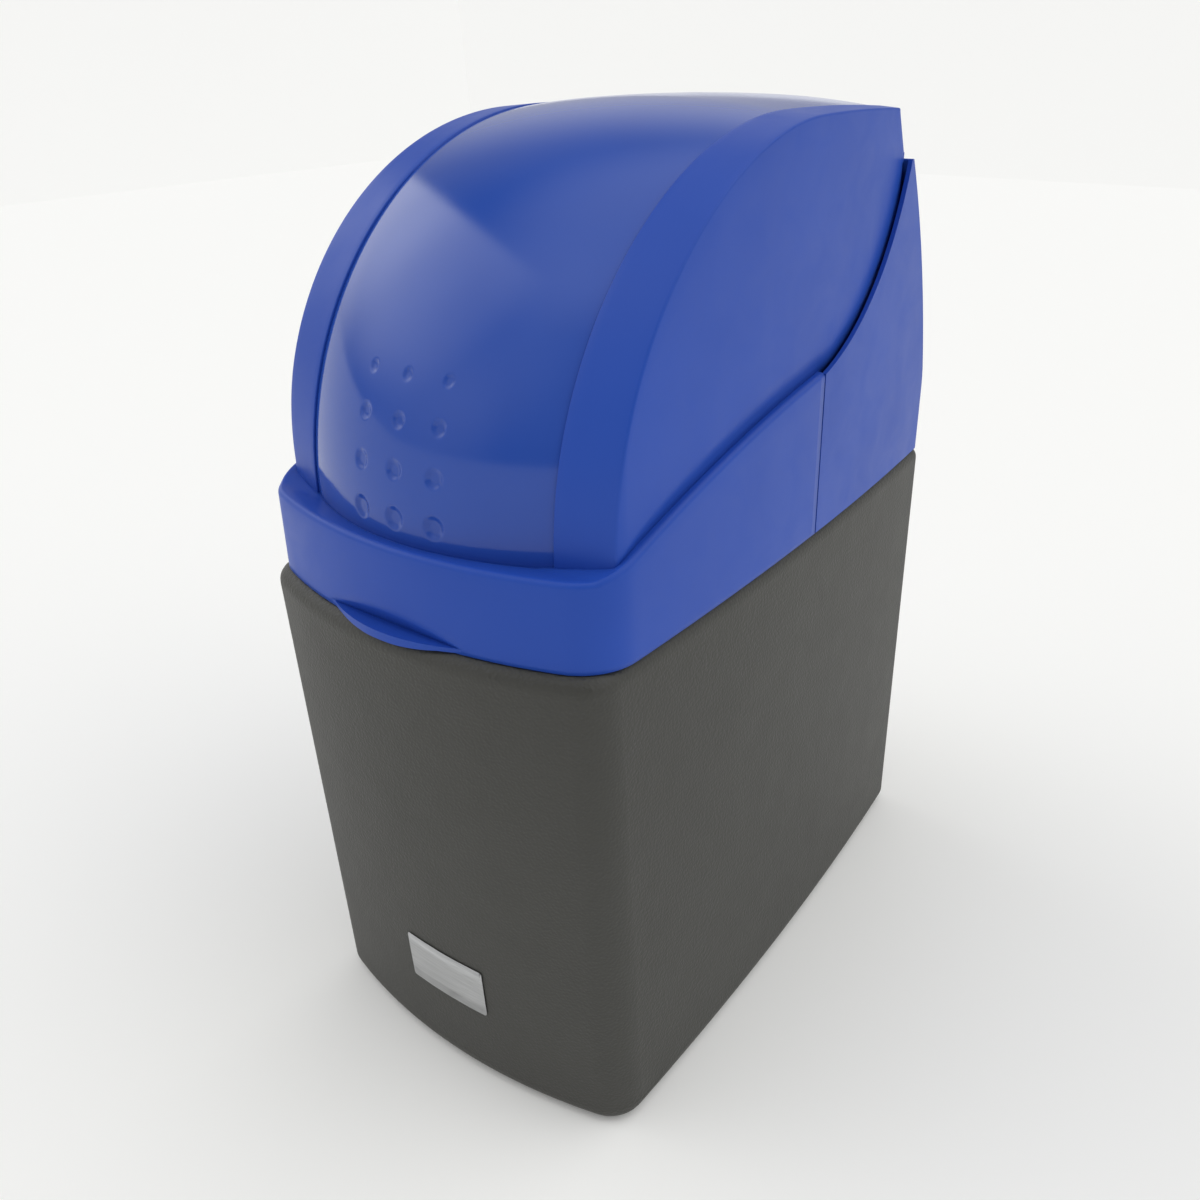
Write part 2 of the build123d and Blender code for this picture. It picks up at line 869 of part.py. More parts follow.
def lid_with_hinge():
    shell = lid()
    for lug in hinge_lugs():
        shell += lug
    room_end = ear_end_x + hinge_pin_head_thickness + 2 * seat_gap
    ear_room = hinge_round(hinge_knuckle_radius + 2 * seat_gap, lug_end_x, room_end)
    room_z = (hinge_z - 3 * hinge_knuckle_radius, hinge_z)
    room_y = (hinge_y - hinge_knuckle_radius - 2 * seat_gap, hinge_y + hinge_knuckle_radius)
    ear_room += block((lug_end_x, room_end), room_y, room_z)
    for room in both_sides(ear_room):
        shell -= room
    for hole in both_sides(hinge_round(bush_radius, hinge_lug_x - overrun, lug_end_x + overrun)):
        shell -= hole
    return shell


def hinge_pins():
    pin = hinge_round(hinge_pin_radius, hinge_lug_x, ear_end_x)
    head_end = ear_end_x + hinge_pin_head_thickness
    pin += hinge_round(hinge_pin_head_radius, ear_end_x, head_end)
    return group(both_sides(pin))


def hinge_bushes():
    bush = hinge_round(bush_radius, hinge_lug_x, lug_end_x)
    bush_flange_radius = (bush_radius + hinge_knuckle_radius) / 2
    bush += hinge_round(bush_flange_radius, lug_end_x, lug_end_x + hinge_bush_flange)
    bush -= hinge_round(hinge_pin_radius + running_gap, hinge_lug_x - overrun, ear_start_x)
    return group(both_sides(bush))


def screw(head_z):
    """Socket head screw that stands upright, its head above head_z."""
    body = upright(screw_head_radius, head_z, head_z + screw_head_height)
    body += upright(screw_radius, head_z - screw_length, head_z)
    head_top = head_z + screw_head_height
    return body - upright(screw_socket_radius, head_top - screw_socket_depth, head_top + overrun)


def rear_cover_screws():
    places = [Pos(side * cover_screw_x, skirt_rear_y, cabinet_height + cover_screw_rise) for side in (-1, 1)]
    return group([place * Rot(-90, 0, 0) * screw(0) for place in places])


def tank_solid(radius, low_z, top_z, low_dome, top_dome):
    """Upright tank with elliptical ends, on the Z axis."""
    edges = [
        EllipticalCenterArc((0, low_z + low_dome), radius, low_dome, -90, arc_size=90),
        Line((radius, low_z + low_dome), (radius, top_z - top_dome)),
        EllipticalCenterArc((0, top_z - top_dome), radius, top_dome, 0, arc_size=90),
        Line((0, top_z), (0, low_z)),
    ]
    return revolve(Plane.XZ * make_face(edges).face(), Axis.Z)


def tank_inside(gap):
    """The inside of the resin vessel, less a gap."""
    inset = vessel_wall + gap
    return tank_solid(
        vessel_radius - inset,
        vessel_low_z + inset,
        vessel_top_z - inset,
        vessel_low_dome - inset,
        vessel_top_dome - inset,
    )


def resin_vessel():
    shell = tank_solid(vessel_radius, vessel_low_z, vessel_top_z, vessel_low_dome, vessel_top_dome)
    shell += upright(neck_radius, vessel_top_z - vessel_top_dome / 2, neck_top_z)
    shell -= upright(neck_bore, vessel_top_z - vessel_top_dome / 2 - overrun, neck_top_z + overrun)
    return at_vessel * (shell - tank_inside(0))


def vessel_boot():
    """Ring that the vessel's round end stands in."""
    radius = vessel_radius + seat_gap + boot_wall
    boot = upright(radius, cabinet_floor_z, cabinet_floor_z + boot_height)
    boot -= upright(boot_hole_radius, cabinet_floor_z - overrun, cabinet_floor_z + boot_height)
    hollow = tank_solid(
        vessel_radius + seat_gap,
        vessel_low_z - seat_gap,
        vessel_top_z,
        vessel_low_dome + seat_gap,
        vessel_top_dome,
    )
    return at_vessel * (boot - hollow)


def resin_bed():
    bed = tank_inside(seat_gap) & upright(vessel_radius, vessel_low_z, resin_level_z)
    bed -= upright(basket_radius + seat_gap, vessel_low_z, basket_top_z + seat_gap)
    bed -= upright(riser_radius + seat_gap, vessel_low_z, resin_level_z + overrun)
    return at_vessel * bed


def riser_tube():
    low_z = basket_top_z - riser_socket
    tube = upright(riser_radius, low_z, riser_top_z)
    return at_vessel * (tube - upright(riser_bore, low_z - overrun, riser_top_z + overrun))


def slot_cross(count, radius, width, low_z, high_z):
    """Pairs of opposite slots, turned around the Z axis."""
    slots = [
        Rot(0, 0, 360 * i / count) * block((-radius, radius), (-width / 2, width / 2), (low_z, high_z))
        for i in range(count // 2)
    ]
    return slots


def bottom_distributor():
    low = basket_low_z
    top = basket_top_z
    basket = upright(basket_radius, low, top)
    socket_floor = top - riser_socket - basket_wall
    basket -= upright(basket_radius - basket_wall, low + basket_wall, socket_floor)
    basket -= upright(riser_radius + running_gap, top - riser_socket, top + overrun)
    basket -= upright(riser_bore, socket_floor - overrun, top)
    slot_low = low + basket_wall + basket_slot_width
    slot_high = socket_floor - basket_wall
    for slot in slot_cross(basket_slots, basket_radius, basket_slot_width, slot_low, slot_high):
        basket -= slot
    return at_vessel * basket


def cone(low_radius, high_radius, low_z, high_z):
    height = high_z - low_z
    return Pos(0, 0, low_z) * Cone(low_radius, high_radius, height, align=on_base)


def top_distributor():
    """Slotted cone around the riser, under the valve's spigot."""
    top = neck_top_z - valve_spigot_length - seat_gap
    low = top - top_basket_height
    shell = cone(top_basket_tip_radius, top_basket_radius, low, top)
    inside_low = top_basket_tip_radius - basket_wall
    inside_high = top_basket_radius - basket_wall
    shell -= cone(inside_low, inside_high, low + basket_wall, top + seat_gap)
    shell -= upright(riser_radius + seat_gap, low - overrun, top)
    slot_low = low + basket_wall * 2
    for slot in slot_cross(basket_slots, top_basket_radius, basket_slot_width, slot_low, top - basket_wall):
        shell -= slot
    return at_vessel * shell


def neck_seal_ring(wire):
    return Pos(0, 0, neck_top_z + seal_wire) * Torus((neck_radius + neck_bore) / 2, wire)


def valve_body():
    shell = upright(neck_bore - seat_gap, neck_top_z - valve_spigot_length, valve_low_z)
    shell += upright(valve_collar_radius, valve_low_z, valve_low_z + valve_collar_height)
    shell += upright(drum_radius, valve_low_z, valve_top_z)
    shell += upright(flange_radius, valve_top_z - flange_thickness, valve_top_z)
    shell += along_y(drain_port_radius, 0, drain_port_reach, 0, drain_z)
    shell += along_x(injector_radius, 0, side_port_reach, 0, side_port_z)
    shell += along_x(brine_port_radius, -side_port_reach, 0, 0, side_port_z)
    for side in (-1, 1):
        shell += along_y(port_radius, 0, port_reach, side * port_x, port_z)
    for hole in valve_holes():
        shell -= hole
    return at_vessel * shell


def valve_holes():
    """Bores and passages of the valve body, from the disc well outwards."""
    ring = disc_window_ring
    well_floor = disc_well_floor_z
    reach = port_reach + overrun
    side_reach = side_port_reach + overrun
    holes = [upright(disc_well_radius, well_floor, valve_top_z + overrun)]
    holes.append(upright(riser_radius + running_gap, neck_top_z - valve_spigot_length - overrun, riser_top_z))
    riser_end_z = side_port_z + riser_passage_radius
    holes.append(upright(riser_passage_radius, riser_top_z - overrun, riser_end_z))
    cross_z = side_port_z - 2 * cross_passage_radius
    holes.append(along_y(cross_passage_radius, -ring, 0, 0, cross_z))
    holes.append(upright(passage_radius, cross_z - passage_radius, well_floor + overrun, 0, -ring))
    holes.append(along_y(drain_port_bore, ring - passage_radius / 2, drain_port_reach + overrun, 0, drain_z))
    holes.append(upright(passage_radius, drain_z - passage_radius / 2, well_floor + overrun, 0, ring))
    for side in (-1, 1):
        holes.append(along_y(port_bore, port_reach - port_bore_depth, reach, side * port_x, port_z))
        holes.append(along_y(passage_radius, -passage_radius, port_reach, side * port_x, port_z))
        holes.append(upright(passage_radius, port_z - passage_radius, well_floor + overrun, side * ring, 0))
    holes.append(along_x(cross_passage_radius, ring, port_x, 0, port_z))
    holes.append(along_x(cross_passage_radius, -port_x, -ring, 0, port_z))
    holes.append(along_x(injector_bore, side_port_reach - injector_bore_depth, side_reach, 0, side_port_z))
    holes.append(along_x(injector_passage_radius, 0, side_port_reach, 0, side_port_z))
    holes.append(along_x(brine_port_bore, -side_reach, 0, 0, side_port_z))
    hole_low = cover_low_z - screw_length
    holes += [upright(screw_radius, hole_low, cover_low_z, x, y) for x, y in cover_screw_places()]
    holes.append(neck_seal_ring(seal_wire + running_gap))
    return holes


def cover_screw_places():
    return around(4, cover_screw_ring, 45)


def plate_screw_places():
    return [(side * post_x, spread * post_spread_y) for side in (-1, 1) for spread in (-1, 1)]


def fixed_disc():
    disc = upright(disc_radius, fixed_disc_z, fixed_disc_z + disc_thickness)
    for x, y in around(disc_windows, disc_window_ring):
        disc -= upright(disc_window_radius, fixed_disc_z - overrun, foot_low_z, x, y)
    return at_vessel * disc


def drive_key(gap):
    """Key across the spindle's foot, or its slot in the turning disc."""
    half_length = key_length / 2 + gap
    half_width = key_width / 2 + gap
    low = turning_disc_z + disc_thickness - key_depth - gap
    return block((-half_length, half_length), (-half_width, half_width), (low, foot_low_z + gap))


def turning_disc():
    disc = upright(disc_radius, turning_disc_z, turning_disc_z + disc_thickness)
    for x, y in around(disc_windows, disc_window_ring)[:2]:
        disc -= upright(disc_window_radius, turning_disc_z - overrun, foot_low_z, x, y)
    return at_vessel * (disc - drive_key(running_gap))


def disc_cover():
    """Cover that holds the discs down, with four posts for the gear plate."""
    cover = upright(flange_radius, cover_low_z, cover_top_z)
    for x, y in plate_screw_places():
        cover += upright(post_radius, cover_low_z, plate_low_z - seat_gap, x, y)
        cover -= upright(screw_radius, plate_top_z - screw_length, plate_top_z, x, y)
    cover -= upright(disc_radius, cover_low_z - overrun, cover_low_z + cover_pocket_depth)
    cover -= upright(spindle_radius + running_gap, cover_low_z, cover_top_z + overrun)
    seal_z = cover_seal_z()
    groove_radius = spindle_radius + running_gap + 2 * spindle_seal_wire + running_gap
    cover -= upright(groove_radius, seal_z - spindle_seal_wire, seal_z + spindle_seal_wire)
    for x, y in cover_screw_places():
        cover -= upright(screw_radius, cover_low_z - overrun, cover_top_z + overrun, x, y)
    return at_vessel * cover


def cover_seal_z():
    return (cover_low_z + cover_pocket_depth + cover_top_z) / 2


def spindle_seal():
    ring = Torus(spindle_radius + running_gap + spindle_seal_wire, spindle_seal_wire)
    return at_vessel * Pos(0, 0, cover_seal_z()) * ring


def valve_screws():
    low = [Pos(x, y, 0) * screw(cover_top_z) for x, y in cover_screw_places()]
    high = [Pos(x, y, 0) * screw(plate_top_z) for x, y in plate_screw_places()]
    return group([at_vessel * piece for piece in low + high])


def spindle_bar(gap):
    """The keyed part of the spindle that the drive gear sits on."""
    bar = upright(spindle_radius + gap, cover_top_z, gear_top_z + cam_height)
    flat_x = spindle_radius - spindle_flat + gap
    half = spindle_radius * 2
    cut = block((flat_x, flat_x + overrun), (-half, half), (gear_low_z, plate_low_z))
    return bar - cut


def drive_spindle():
    spindle = upright(spindle_foot_radius, foot_low_z, foot_low_z + spindle_foot_height)
    spindle += drive_key(0)
    spindle += upright(spindle_radius, foot_low_z, cover_top_z) + spindle_bar(0)
    spindle += upright(spindle_neck_radius, cover_top_z, plate_top_z + screw_head_height)
    return at_vessel * spindle


def tooth_points(teeth, radius_list, play):
    """Half angles of an involute tooth at some radii, less its share of the play."""
    pitch = gear_module * teeth / 2
    base = pitch * cos(radians(pressure_angle))
    start = tan(radians(pressure_angle)) - radians(pressure_angle)
    angles = []
    for radius in radius_list:
        reach = acos(min(base / radius, 1.0))
        angles.append(pi / teeth / 2 - play / pitch / 4 + start - tan(reach) + reach)
    return angles


def gear_outline(teeth):
    """Spur gear with involute flanks, a tooth centred on +X."""
    pitch = gear_module * teeth / 2
    base = pitch * cos(radians(pressure_angle))
    tip = pitch + addendum_share * gear_module
    root = pitch - dedendum_share * gear_module
    foot = max(base, root)
    radii = [foot, (foot + tip) / 2, tip]
    half = tooth_points(teeth, radii, backlash)
    edges = []
    for i in range(teeth):
        centre = 2 * pi * i / teeth
        left = [spot(r, centre - h) for r, h in zip(radii, half)]
        right = [spot(r, centre + h) for r, h in zip(radii, half)]
        low_left = spot(root, centre - half[0])
        low_right = spot(root, centre + half[0])
        following = spot(root, centre + 2 * pi / teeth - half[0])
        edges.append(ThreePointArc(*left))
        edges.append(ThreePointArc(left[-1], spot(tip, centre), right[-1]))
        edges.append(ThreePointArc(*reversed(right)))
        if base > root:
            edges.append(Line(low_left, left[0]))
            edges.append(Line(right[0], low_right))
        edges.append(ThreePointArc(low_right, spot(root, centre + pi / teeth), following))
    return make_face(edges).face()


def spot(radius, angle):
    return (radius * cos(angle), radius * sin(angle))


def drive_gear():
    """Drive gear with lightening holes and a notched cam for the position switch."""
    gear = Pos(0, 0, gear_low_z) * extrude(Rot(0, 0, -90) * gear_outline(gear_teeth), amount=gear_width)
    for x, y in around(gear_holes, gear_hole_ring):
        gear -= upright(gear_hole_radius, gear_low_z - overrun, gear_top_z + overrun, x, y)
    cam = upright(cam_radius, gear_top_z, gear_top_z + cam_height)
    for x, y in around(disc_windows, cam_radius, 45):
        cam -= upright(cam_notch_radius, gear_top_z - overrun, gear_top_z + cam_height + overrun, x, y)
    return at_vessel * (gear + cam - spindle_bar(running_gap))


at_motor = Pos(0, vessel_y - gear_distance, 0)


def motor_pinion():
    """Pinion and its shaft, a tooth space turned towards the drive gear."""
    turn = 90 - 180 / pinion_teeth
    pinion = Pos(0, 0, gear_low_z) * extrude(Rot(0, 0, turn) * gear_outline(pinion_teeth), amount=gear_width)
    return at_motor * (pinion + upright(motor_shaft_radius, gear_low_z, plate_top_z + motor_shaft_depth))


def gear_plate():
    """Plate over the gear train: bears the spindle and carries the motor and the switch."""
    wing_x = post_x + post_radius
    plate = block((-wing_x, wing_x), (-plate_wing, plate_wing), (plate_low_z, plate_top_z))
    tongue_y = (-plate_front_reach, plate_wing)
    plate += block((-plate_half_width, plate_half_width), tongue_y, (plate_low_z, plate_top_z))
    plate -= upright(spindle_neck_radius + running_gap, plate_low_z - overrun, plate_top_z + overrun)
    room = motor_boss_radius + seat_gap
    plate -= upright(room, plate_low_z - overrun, plate_top_z + overrun, 0, -gear_distance)
    for x, y in plate_screw_places():
        plate -= upright(screw_radius, plate_low_z - overrun, plate_top_z + overrun, x, y)
    return at_vessel * plate


def gear_motor():
    low = plate_top_z + seat_gap
    top = low + motor_height
    ear_top = low + motor_ear_thickness
    body = upright(motor_radius, low, top)
    body += upright(motor_radius - motor_ear_thickness, top, top + motor_cap_height)
    body += upright(motor_boss_radius, low - motor_boss_height, low)
    half_ear = motor_ear_width / 2
    ears = block((-motor_ear_reach, motor_ear_reach), (-half_ear, half_ear), (low, ear_top))
    body += ears
    shaft_top = plate_top_z + motor_shaft_depth + seat_gap
    body -= upright(motor_shaft_radius + running_gap, low - motor_boss_height - overrun, shaft_top)
    return at_motor * body


def position_switch():
    """Switch under the gear plate, its lever beside the cam."""
    top = plate_low_z - seat_gap
    lever_x = cam_radius + switch_lever_gap
    body_x = lever_x + 2 * switch_lever_thickness
    half = switch_length / 2
    body = block((body_x, body_x + switch_depth), (-half, half), (top - switch_height, top))
    lever_z = (gear_top_z + seat_gap + seat_gap, top)
    body += block((lever_x, lever_x + switch_lever_thickness), (-half, half / 2), lever_z)
    body += block((lever_x, body_x), (-half, -half + switch_lever_thickness), lever_z)
    return at_vessel * body


def injector_cap():
    start = side_port_reach + seat_gap
    end = start + injector_cap_thickness
    cap = along_x(injector_cap_radius, start, end, 0, side_port_z)
    cap += along_x(injector_bore - seat_gap, start - injector_cap_thickness / 2, start, 0, side_port_z)
    for y, z in around(injector_cap_grips, injector_cap_radius):
        cap -= along_x(injector_grip_radius, start + injector_grip_radius, end + overrun, y, side_port_z + z)
    return at_vessel * cap


def injector_nozzle():
    """Venturi: a narrow throat that opens into a cone."""
    length = nozzle_length
    body = Cylinder(nozzle_radius, length, align=on_base)
    mouth = length / 4
    body -= Cone(nozzle_mouth, nozzle_throat, mouth, align=on_base)
    body -= Cylinder(nozzle_throat, length, align=on_base)
    body -= Pos(0, 0, mouth) * Cone(nozzle_throat, nozzle_mouth / 2, length - mouth, align=on_base)
    start = side_port_reach - injector_bore_depth + seat_gap
    return at_vessel * Pos(start, 0, side_port_z) * Rot(0, 90, 0) * body


def brine_elbow():
    """Elbow on the valve's brine port, turned to the front."""
    start = -side_port_reach - seat_gap
    nose = start + injector_bore
    end_y = -elbow_leg
    body = along_x(brine_port_radius, start - elbow_turn / 3, start, 0, side_port_z)
    body += along_x(brine_port_bore - running_gap, start, nose, 0, side_port_z)
    body += along_x(elbow_radius, elbow_x, start, 0, side_port_z)
    body += Pos(elbow_x, 0, side_port_z) * Sphere(elbow_radius)
    body += along_y(elbow_radius, end_y + barb_length, 0, elbow_x, side_port_z)
    body += along_y(tube_bore - running_gap, end_y, 0, elbow_x, side_port_z)
    bore = tube_bore / 2
    body -= along_y(bore, end_y - overrun, 0, elbow_x, side_port_z)
    body -= along_x(bore, elbow_x, nose + overrun, 0, side_port_z)
    return at_vessel * body


def brine_tube():
    """Tube from the float valve in the well up to the valve's brine elbow."""
    start_x = pickup_x + outlet_reach_x() - tube_push
    end_y = vessel_y - elbow_leg + barb_length - seat_gap
    points = [
        (start_x, well_y, outlet_z),
        (tube_rise_x, well_y, outlet_z),
        (tube_rise_x, well_y, side_port_z),
        (elbow_x, tube_arrive_y, side_port_z),
        (elbow_x, end_y, side_port_z),
    ]
    wall = pipe(points, tube_radius, tube_bend_radius)
    return wall - pipe(points, tube_bore, tube_bend_radius)


def outlet_reach_x():
    return well_radius - pickup_offset + outlet_reach


def adapter():
    """Pipe adapter: nose with a seal groove, clip flange, hexagon and plain spigot."""
    flange_y = port_reach + seat_gap
    neck_y = flange_y + adapter_flange_thickness
    hex_y = neck_y + adapter_neck_length
    spigot_y = hex_y + adapter_hex_length
    end_y = spigot_y + adapter_spigot_length
    body = along_y(adapter_nose_radius, flange_y - adapter_nose_length, flange_y, 0, 0)
    body += along_y(adapter_flange_radius, flange_y, neck_y, 0, 0)
    body += along_y(adapter_neck_radius, neck_y, hex_y, 0, 0)
    hexagon = Plane.XZ * RegularPolygon(adapter_hex_radius, side_count=6)
    body += Pos(0, hex_y, 0) * extrude(hexagon, amount=-adapter_hex_length)
    body += along_y(adapter_spigot_radius, spigot_y, end_y, 0, 0)
    body -= along_y(adapter_bore, flange_y - adapter_nose_length - overrun, end_y + overrun, 0, 0)
    groove_y = flange_y - adapter_seal_back
    half = adapter_seal_wire + running_gap
    groove = along_y(port_bore, groove_y - half, groove_y + half, 0, 0)
    core = port_bore - 2 * adapter_seal_wire - 2 * running_gap
    groove -= along_y(core, groove_y - half - overrun, groove_y + half + overrun, 0, 0)
    return body - groove


def adapter_seals():
    ring = Torus(port_bore - running_gap - adapter_seal_wire, adapter_seal_wire)
    ring = Pos(0, port_reach + seat_gap - adapter_seal_back, 0) * Rot(90, 0, 0) * ring
    return group([at_vessel * Pos(side * port_x, 0, port_z) * ring for side in (-1, 1)])


def adapter_clips():
    """U clips behind the adapters' flanges."""
    start = port_reach + 2 * seat_gap + adapter_flange_thickness
    slot = adapter_neck_radius + seat_gap
    half_width = clip_width / 2
    half_height = clip_height / 2
    clip = block((-half_width, half_width), (start, start + clip_thickness), (-half_height, half_height))
    clip -= along_y(slot, start - overrun, start + overrun, 0, 0)
    clip -= block((-slot, slot), (start - overrun, start + overrun), (-half_height - overrun, 0))
    return group([at_vessel * Pos(side * port_x, 0, port_z) * clip for side in (-1, 1)])


at_outlet = at_vessel * Pos(port_x, port_reach + seat_gap - adapter_nose_length + turbine_depth, port_z)
at_outlet = at_outlet * Rot(-90, 0, 0)
blade_low_z = cage_thickness + seat_gap
cage_length = 2 * blade_low_z + turbine_length


def turbine_cage():
    """Ring with a spider at each end that holds the turbine's axle."""
    outer = adapter_bore - running_gap
    ring = Cylinder(outer, cage_length, align=on_base)
    ring -= Cylinder(outer - cage_ring_wall, cage_length, align=on_base)
    for low in (0, cage_length - cage_thickness):
        ring += upright(cage_hub_radius, low, low + cage_thickness)
        for i in range(cage_webs):
            reach, half = outer - cage_ring_wall / 2, cage_web / 2
            web = block((0, reach), (-half, half), (low, low + cage_thickness))
            ring += Rot(0, 0, 360 * i / cage_webs) * web
    ring -= Cylinder(axle_radius, cage_length, align=on_base)
    return at_outlet * ring


def flow_turbine():
    """Turbine with twisted blades."""
    hub = upright(turbine_hub_radius, blade_low_z, blade_low_z + turbine_length)
    half = turbine_blade_thickness / 2
    for i in range(turbine_blades):
        turn = 360 * i / turbine_blades
        sections = []
        for level in (0, 1):
            angle = turn + turbine_blade_twist * (level - 1 / 2)
            blade = Pos(turbine_radius / 2, 0, 0) * Rectangle(turbine_radius, 2 * half)
            place = Pos(0, 0, blade_low_z + turbine_length * level) * Rot(0, 0, angle)
            sections.append((place * blade).face())
        hub += loft(sections, ruled=True)
    hub &= upright(turbine_radius, blade_low_z, blade_low_z + turbine_length)
    hub -= upright(axle_radius + running_gap, 0, cage_length)
    return at_outlet * hub


def turbine_axle():
    return at_outlet * upright(axle_radius, 0, cage_length)


def drain_spigot():
    """Barbed spigot for the drain hose."""
    start = drain_port_reach + seat_gap
    neck_y = start + drain_flange_thickness
    end_y = start + drain_length
    body = along_y(drain_port_bore - running_gap, start - drain_nose, start, 0, drain_z)
    body += along_y(drain_flange_radius, start, neck_y, 0, drain_z)
    body += along_y(drain_spigot_radius, neck_y, end_y, 0, drain_z)
    for i in range(drain_barbs):
        barb_y = end_y - (i + 1) * drain_barb_pitch
        wide = drain_spigot_radius + drain_barb_rise
        barb = Cone(wide, drain_spigot_radius, drain_barb_pitch, align=on_base)
        body += Pos(0, barb_y, drain_z) * Rot(-90, 0, 0) * barb
    body -= along_y(drain_spigot_bore, start - drain_nose - overrun, end_y + overrun, 0, drain_z)
    return at_vessel * body


def brine_well():
    shell = upright(well_radius, cabinet_floor_z, well_top_z)
    shell -= upright(well_radius - well_wall, cabinet_floor_z - overrun, well_top_z + overrun)
    slot_low = cabinet_floor_z + well_wall
    slot_high = slot_low + well_slot_height
    slots = slot_cross(well_slots, well_radius + overrun, well_slot_width, slot_low, slot_high)
    for slot in slots:
        shell -= slot
    hole_start = well_radius - well_wall - overrun
    shell -= along_x(outlet_radius + seat_gap, hole_start, well_radius + overrun, 0, outlet_z)
    return Pos(well_x, well_y, 0) * shell


def well_cap():
    seat = well_top_z + seat_gap
    cap = upright(cap_radius, seat - cap_skirt, seat + cap_thickness)
    cap -= upright(well_radius + seat_gap, seat - cap_skirt - overrun, seat)
    knob_low = seat + cap_thickness
    cap += upright(cap_knob_radius, knob_low, knob_low + cap_knob_height)
    cap = fillet(cap.edges().group_by(Axis.Z)[-1], cap_wall)
    return Pos(well_x, well_y, 0) * cap


def float_valve():
    """Block in the well that closes the brine line when the float rises."""
    low = valve_block_low_z
    shell = upright(valve_block_radius, low, block_top_z, rod_x, well_y)
    shell += upright(valve_block_radius, low, block_top_z, pickup_x, well_y)
    half = valve_block_radius / 2
    shell += block((rod_x, pickup_x), (well_y - half, well_y + half), (low, block_top_z))
    shell += along_x(outlet_radius, pickup_x, pickup_x + outlet_reach_x() - tube_push, well_y, outlet_z)
    stub = tube_bore - running_gap
    shell += along_x(stub, pickup_x, pickup_x + outlet_reach_x(), well_y, outlet_z)
    bore_top = low + rod_engagement + float_travel + 2 * rod_radius
    shell -= upright(rod_radius + rod_clearance, low - overrun, bore_top, rod_x, well_y)
    shell -= upright(pickup_radius + running_gap, low - overrun, low + valve_block_overlap, pickup_x, well_y)
    shell -= upright(stub / 2, low, outlet_z, pickup_x, well_y)
    shell -= along_x(stub / 2, pickup_x, pickup_x + outlet_reach_x() + overrun, well_y, outlet_z)
    return shell


def pickup_tube():
    low = check_low_z + check_height - 2 * check_wall
    top = valve_block_low_z + valve_block_overlap
    tube = upright(pickup_radius, low, top, pickup_x, well_y)
    return tube - upright(pickup_bore, low - overrun, top + overrun, pickup_x, well_y)


def check_cage():
    """Slotted cup around the ball that keeps air out of the brine line."""
    top = check_low_z + check_height
    shell = upright(check_radius, check_low_z, top)
    shell -= upright(check_radius - check_wall, check_low_z + check_wall, top - 2 * check_wall)
    shell -= upright(pickup_radius + running_gap, top - 2 * check_wall - seat_gap, top + overrun)
    slot_low = check_low_z + 2 * check_wall
    slot_high = slot_low + check_slot_height
    for slot in slot_cross(4, check_radius + overrun, check_slot_width, slot_low, slot_high):
        shell -= slot
    return Pos(pickup_x, well_y, 0) * shell


def check_ball():
    z = check_low_z + check_wall + ball_radius + running_gap
    return Pos(pickup_x, well_y, z) * Sphere(ball_radius)


def float_rod():
    return upright(rod_radius, rod_low_z, valve_block_low_z + rod_engagement, rod_x, well_y)


def well_float():
    body = upright(float_radius, float_low_z, float_low_z + float_height)
    body = fillet(body.edges().filter_by(GeomType.CIRCLE), float_edge_radius)
    body -= upright(rod_radius + running_gap, float_low_z - overrun, float_low_z + float_height + overrun)
    return Pos(rod_x, well_y, 0) * body


def grid_outline(inset):
    """The tank's inside at the height of the salt grid."""
    share = grid_z / cabinet_height
    front_y = foot_front_y + (cabinet_front_y - foot_front_y) * share
    bow = foot_bow + (cabinet_bow - foot_bow) * share
    return plan_face(front_y, bow, cabinet_rear_y, wall_cabinet + grid_gap + inset, grid_z)


def grid_slots():
    """Slots in rows, where they clear the edge, the vessel and the well."""
    room = extrude(grid_outline(grid_edge), amount=grid_thickness)
    rear_y, top_z = grid_rear_y - grid_edge, grid_z + grid_thickness
    room &= block((-front_width, front_width), (cabinet_front_y, rear_y), (grid_z, top_z))
    room -= upright(vessel_radius + grid_gap + grid_edge, 0, grid_z + overrun, 0, vessel_y)
    room -= upright(well_radius + grid_gap + grid_edge, 0, grid_z + overrun, well_x, well_y)
    columns = int(front_width / 2 / grid_pitch_x)
    rows = int((grid_rear_y - cabinet_front_y) / grid_pitch_y)
    half_width = grid_slot_width / 2
    slots = []
    for column in range(-columns, columns + 1):
        for row in range(rows):
            x = column * grid_pitch_x
            y = cabinet_front_y + (row + 1) * grid_pitch_y
            y_range = (y - grid_slot_length / 2, y + grid_slot_length / 2)
            corners = [(x + side * half_width, end) for side in (-1, 1) for end in y_range]
            if all(room.is_inside(Vector(a, b, grid_z + grid_thickness / 2)) for a, b in corners):
                z_range = (grid_z - overrun, grid_z + grid_thickness + overrun)
                slots.append(block((x - half_width, x + half_width), y_range, z_range))
    return slots


def salt_grid():
    """Slotted plate that keeps the salt above the brine, on four legs."""
    plate = extrude(grid_outline(0), amount=grid_thickness)
    rear = (grid_rear_y, cabinet_rear_y)
    plate -= block((-front_width, front_width), rear, (grid_z - overrun, grid_z + overrun + grid_thickness))
    for x, y in leg_places:
        plate += upright(leg_radius, cabinet_floor_z, grid_z, x, y)
    plate -= upright(vessel_radius + grid_gap, 0, grid_z + overrun + grid_thickness, 0, vessel_y)
    plate -= upright(well_radius + grid_gap, 0, grid_z + overrun + grid_thickness, well_x, well_y)
    for slot in grid_slots():
        plate -= slot
    return plate


